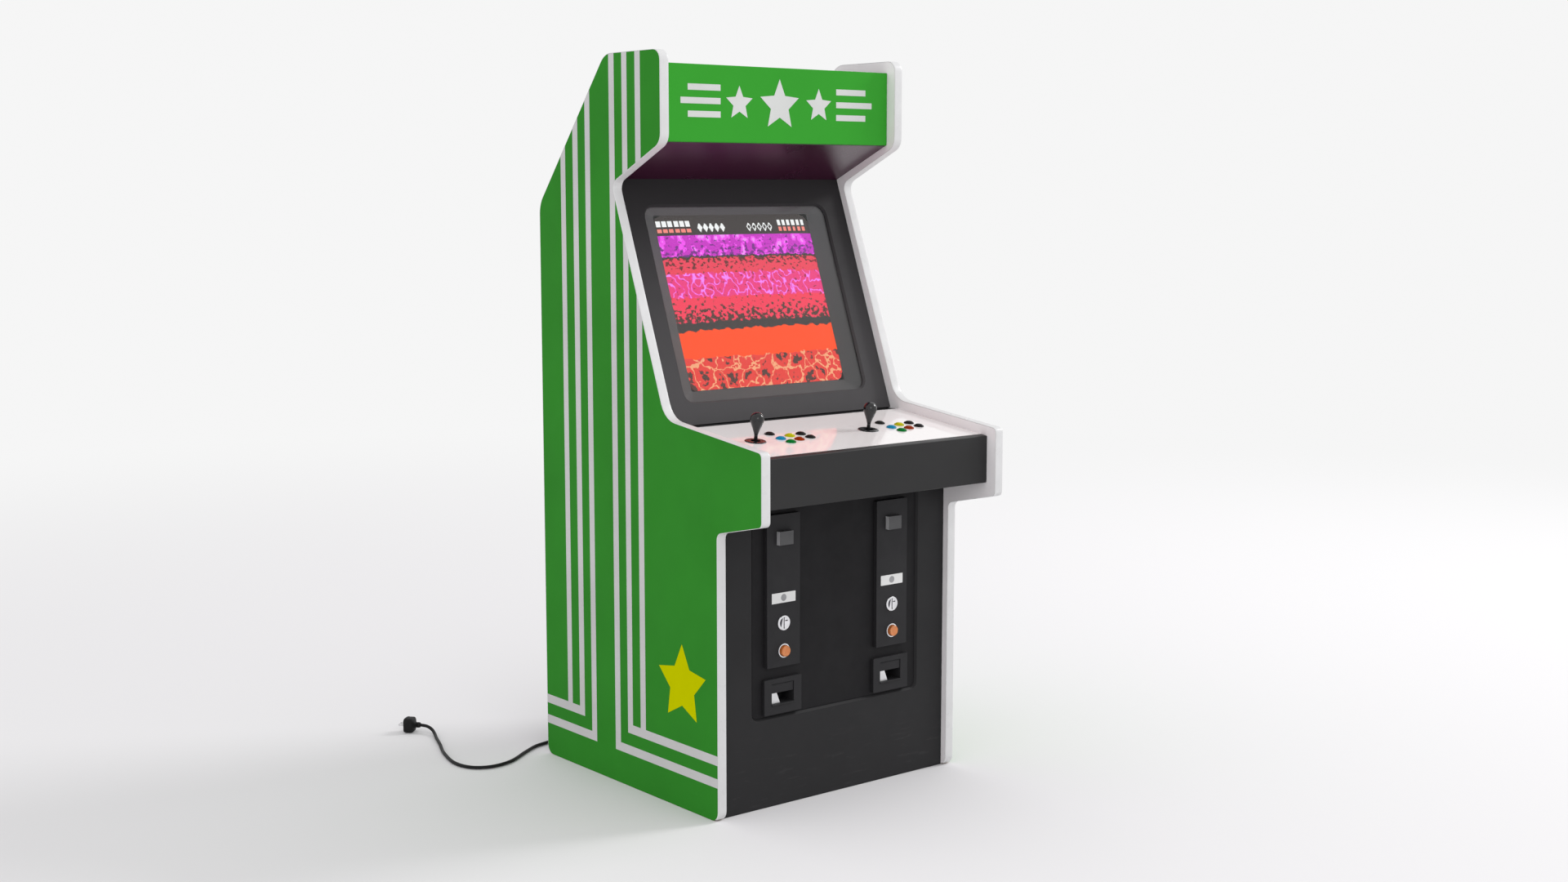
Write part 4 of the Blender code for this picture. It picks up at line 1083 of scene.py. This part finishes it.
def make_coin_column(side, lens):
    """All that lies on one of the door's tall plates, and the mechanism behind it."""
    entry = centre_of(side + "_coin_slot")
    button_z = centre_of(side + "_reject_button").z
    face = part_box(side + "_coin_slot")[0].y + ENTRY_H
    low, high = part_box(side + "_coin_mech")
    make_mech_plate(side, face, entry.z, button_z)
    make_plate_block(side, entry.x, face, low.y)
    make_price_card(side, entry.x, face)
    make_coin_entry(side, out_of_front(entry.x, face, entry.z))
    make_reject_button(side, out_of_front(entry.x, face, button_z), lens)
    mechanism = block((entry.x - MECH_HALF, MECH_FRONT, MECH_Z[0]), (entry.x + MECH_HALF, high.y, MECH_Z[1]))
    finish_piece(side + "_mechanism", mechanism, steel, DOOR, soft=(0.002,))


RETURN_RIM = 0.0024  # the return plate's face, behind its sill's front
CUP_HALF = 0.036
CUP_Z = (0.23, 0.2905)
HOLLOW_X = (-0.0325, 0.0315)
HOLLOW_Z = (0.2385, 0.2852)
SILL_HALF = 0.033
SILL_Z = (0.2352, 0.2382)
CHUTE = mm((-32.2, -17.2), (-5.4, -17.2), (-15, 7.2), (-32.2, 7.2))
FLAP_HALF = 0.031
FLAP_REACH = Vector((0.0312, 0.0008, 0.0))
FLAP_DROP = Vector((0.0, 0.0, 0.0193))


def make_return_cup(side):
    """Plate with a cup behind its opening, a sill, and a bright chute plate cut on a slant."""
    node = side + "_coin_return"
    low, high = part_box(node)
    x, _, z = centre_of(node)
    face = low.y + RETURN_RIM
    outline = oblong((high.x - low.x) / 2, (high.z - low.z) / 2, PLATE_CORNER)
    work = slab(outline, 0.0, PLATE_BACK - face, out_of_front(x, PLATE_BACK, z))
    cup = block((x - CUP_HALF, PLATE_BACK - 0.003, CUP_Z[0]), (x + CUP_HALF, high.y, CUP_Z[1]))
    near = (x + HOLLOW_X[0], low.y - 0.02, HOLLOW_Z[0])
    hollow = block(near, (x + HOLLOW_X[1], high.y - 0.002, HOLLOW_Z[1]))
    work = combine(combine(work, cup, "UNION"), hollow, "DIFFERENCE")
    finish_piece(side + "_return_cup", work, plate_black, DOOR, [node], soft=(0.0008,))
    sill = block((x - SILL_HALF, low.y, SILL_Z[0]), (x + SILL_HALF, low.y + 0.005, SILL_Z[1]))
    finish_piece(side + "_return_sill", sill, plate_black, DOOR, soft=(0.0006,))
    chute = slab(CHUTE, 0.0, 0.001, out_of_front(x, face + 0.006, z))
    finish_piece(side + "_return_chute", chute, bright_steel, DOOR)


def make_flap(side):
    """A sheet rolled round its pin."""
    body = side + "_return_flap"
    pin = pin_of(side + "_flap_hinge")
    sheet = block(pin - FLAP_REACH - FLAP_DROP, pin + FLAP_REACH)
    finish_piece(side + "_flap_sheet", sheet, plate_black, body, [body], soft=(0.0004, 2))
    spin = axes_frame(pin, (0, 1, 0), (0, 0, 1), (1, 0, 0))
    roll = lathe(rod(0.0013, -FLAP_HALF, FLAP_HALF), spin, 24)
    finish_piece(side + "_flap_roll", roll, plate_black, body)


lens = reject_lens()
for side in SIDES:
    make_coin_column(side, lens)
    make_return_cup(side)
    make_flap(side)

# --- control panel
PANEL_UP = -Vector(JOINTS["left_button_1_press"]["axis"]).normalized()
PANEL_BACK = Vector((0.0, PANEL_UP.z, -PANEL_UP.y))
PIVOT_DEPTH = 0.028
BUTTON_COLOURS = {
    "start_button": ("button_black", (0.014, 0.013, 0.013)),
    "button_1": ("button_blue", (0.01, 0.235, 0.42)),
    "button_2": ("button_yellow", (0.5, 0.47, 0.004)),
    "button_3": ("button_black", (0.014, 0.013, 0.013)),
    "button_4": ("button_green", (0.0, 0.15, 0.02)),
    "button_5": ("button_red", (0.29, 0.026, 0.0)),
    "button_6": ("button_black", (0.014, 0.013, 0.013)),
}
# from the pivot up; the profiles after it are from the panel's face up
BAT = mm(
    (0, 93.8), (2.2, 93.7), (4.4, 93.2), (6.8, 92.3), (9, 91.1), (11.2, 89.3), (13.1, 87), (14.6, 84.3),
    (15.5, 81.4), (15.8, 78.5), (15.7, 76.4), (15.3, 74.2), (14.4, 71.2), (13.2, 67.9), (11.8, 64.3),
    (10.3, 60.6), (8.8, 56.8), (7.4, 53.1), (6.2, 49.7), (5.3, 46.5), (4.7, 44.2), (4.2, 42.8),
    (4.2, -18.5), (0, -18.5),
)
DISC = mm(
    (11.5, 1.8), (13.5, 2), (22.5, 1.9), (23.8, 1.5), (24.5, 0.7), (24.5, 0.3), (14, 0.3), (14, -19.5),
    (11.5, -19.5), (11.5, 1.8),
)
RIM = mm(
    (8.8, 2.6), (9.4, 3), (10.4, 3), (11.1, 2.7), (11.7, 1.9), (12.1, 0.3), (10, 0.3), (10, -24),
    (8.8, -24), (8.8, 2.6),
)
PLUNGER = mm(
    (0, 6), (2.4, 5.9), (4.6, 5.7), (6.3, 5.3), (7.6, 4.7), (8.3, 3.9), (8.4, 3), (8.4, -14), (0, -14),
)
NUT = mm((10.2, -18.4), (13.8, -18.4), (13.8, -22), (10.2, -22), (10.2, -18.4))


def on_panel(point):
    """Frame with +Z out of the control panel and its origin at a point of its surface."""
    return axes_frame(point, (1, 0, 0), PANEL_BACK, PANEL_UP)


# the gimbal's mount, below the panel: (half width, foot, head)
MOUNT_PLATE = (0.032, -0.0212, -0.0187)
MOUNT_WELL = (0.022, -0.048, -0.02)
MOUNT_HOLLOW = (0.019, -0.06, -0.0215)
SIDEWAYS = Matrix.Rotation(math.pi / 2, 4, "Y")


def make_stick(side, pivot):
    """Bat handle on its shaft, with the pins that cross its pivot."""
    body = side + "_stick"
    bat = lathe(BAT, on_panel(pivot))
    finish_piece(side + "_bat_handle", bat, stick_black, body, [side + "_joystick_handle"], 50)
    pins = bmesh.new()
    for sign in (-1, 1):
        turn = Matrix.Rotation(sign * math.pi / 2, 4, "X")
        lathe(rod(0.0014, 0.003, 0.0112), on_panel(pivot) @ turn, 16, pins)
    finish_piece(side + "_cross_pin", pins, steel, body)


def make_stick_base(side, place):
    """Collar disc on the panel, with the mounting plate and the well that carries the gimbal's axle."""
    disc = lathe(DISC, place)
    finish_piece(side + "_stick_disc", disc, base_black, "cabinet", [side + "_joystick_base"], 50)
    parts = (MOUNT_PLATE, MOUNT_WELL, MOUNT_HOLLOW)
    plate, well, hollow = [block((-h, -h, foot), (h, h, head), place) for h, foot, head in parts]
    work = combine(combine(plate, well, "UNION"), hollow, "DIFFERENCE")
    axle = place @ Matrix.Translation((0, 0, -PIVOT_DEPTH)) @ SIDEWAYS
    for radius, way in ((0.0142, place), (0.0021, axle)):
        work = combine(work, lathe(rod(radius, -0.03, 0.03), way, 24), "DIFFERENCE")
    finish_piece(side + "_stick_mount", work, steel)


def make_buttons(side, paints):
    for name, mat in paints.items():
        node = f"{side}_{name}"
        crown = max((v.co for v in NODES[node].data.vertices), key=lambda p: p @ PANEL_UP)
        place = on_panel(crown - PANEL_UP * PLUNGER[0][1])
        finish_piece(node + "_plunger", lathe(PLUNGER, place, 48), mat, node, [node], 50)
        rim = lathe(RIM, place, 48)
        finish_piece(node + "_rim", rim, mat, "cabinet", [side + "_button_housings"], 50)
        finish_piece(node + "_nut", lathe(NUT, place, 6), base_black, soft=(0.0005, 2))


button_paints = {
    name: polished(name + "_plastic", slot, colour, (0.22, 0.34), shine=0.06)
    for name, (slot, colour) in BUTTON_COLOURS.items()
}
for side in SIDES:
    pivot = pin_of(side + "_stick_forward")
    make_stick(side, pivot)
    make_stick_base(side, on_panel(pivot + PANEL_UP * PIVOT_DEPTH))
    make_buttons(side, button_paints)


# --- rear fittings
LOCK = mm((0, 2.2), (6.2, 2.2), (6.6, 3), (8.8, 3.4), (10.5, 2.8), (11.2, 1), (11.2, 0.2), (0, 0.2))
LOCK_Z = 0.6
HINGE_Z = (0.24, 0.56, 0.88)
HINGE_HALF = 0.03
ROLL = mm((0, 30), (1.4, 30), (1.6, 29.7), (1.6, -29.7), (1.4, -30), (0, -30))


def make_door_fittings():
    """Cam lock, and hinge leaves with rolled edges, on the service door."""
    low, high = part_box("rear_door")
    place = out_of_back(high.x - 0.03, high.y, LOCK_Z)
    key_slot = block((-0.0008, -0.0042, 0.0006), (0.0008, 0.0042, 0.01), place)
    lock = combine(lathe(LOCK, place, 48), key_slot, "DIFFERENCE")
    finish_piece("door_lock", lock, chrome, "rear_door", sharp=28)
    for k, height in enumerate(HINGE_Z):
        near = (low.x + 0.001, high.y + 0.0002, height - HINGE_HALF)
        leaf = block(near, (low.x + 0.026, high.y + 0.0014, height + HINGE_HALF))
        finish_piece(f"door_hinge_leaf_{k}", leaf, dull_steel, "rear_door", soft=(0.0004, 2))
        roll = lathe(ROLL, Matrix.Translation((low.x + 0.0026, high.y + 0.0018, height)), 24)
        finish_piece(f"door_hinge_roll_{k}", roll, dull_steel, "rear_door")


def make_seam_batten():
    """Batten inside the seam between the upright and the sloping rear panel."""
    low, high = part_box("rear_panel")
    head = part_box("rear_slope_panel")[0].z + 0.012
    near = (low.x + 0.0005, low.y - 0.0125, high.z - 0.018)
    work = block(near, (high.x - 0.0005, low.y - 0.0002, head))
    finish_piece("rear_seam_batten", work, batten_black, soft=(0.0008, 2))


make_door_fittings()
make_seam_batten()

# --- studio
WORLD_LIGHT = 0.92
FLOOR_R = 60.0
FLOOR_FADE = (1.5, 7.0)  # how far out the floor starts and ends its fade
FLOOR_GREY = (0.757, 0.747, 0.76)
# (place, target, diameter, power)
LIGHTS = {
    "key_right": ((8.6, -2.4, 6.4), (0.0, 0.0, 0.6), 3.2, 480.0),
    "front_fill": ((-2.2, -4.4, 2.8), (0.0, 0.0, 1.0), 2.6, 28.0),
}


def make_floor():
    """Pale floor that fades into the backdrop's white a few metres out."""
    work = bmesh.new()
    bmesh.ops.create_circle(work, cap_ends=True, segments=96, radius=FLOOR_R)
    mesh = mesh_of("floor", work)
    paint = Paint("floor_white", Base_Color=FLOOR_GREY, Roughness=0.9, Specular_IOR_Level=0.0)
    reach = paint.add("VectorMath", {0: paint.where}, "Value", operation="LENGTH")
    fade = paint.step(reach, *FLOOR_FADE)
    far = paint.add("Emission", {"Color": (1.0, 1.0, 1.0), "Strength": WORLD_LIGHT})
    paint.surface(paint.add("MixShader", {0: fade, 1: paint.shader.outputs[0], 2: far}))
    mesh.materials.append(paint.material)
    floor = put_in("floor", mesh)
    floor.location.z = -0.0005


def make_light(name, at, target, size, power):
    light = bpy.data.lights.new(name, "AREA")
    light.shape = "DISK"
    light.size = size
    light.energy = power
    obj = put_in(name, light)
    obj.location = at
    obj.rotation_euler = (Vector(target) - Vector(at)).to_track_quat("-Z", "Y").to_euler()


make_floor()
for name, values in LIGHTS.items():
    make_light(name, *values)
world = bpy.data.worlds.new("studio")
world.use_nodes = True
world.node_tree.nodes["Background"].inputs["Color"].default_value = (1.0, 1.0, 1.0, 1.0)
world.node_tree.nodes["Background"].inputs["Strength"].default_value = WORLD_LIGHT
bpy.context.scene.world = world
bpy.context.scene.view_settings.view_transform = "Standard"
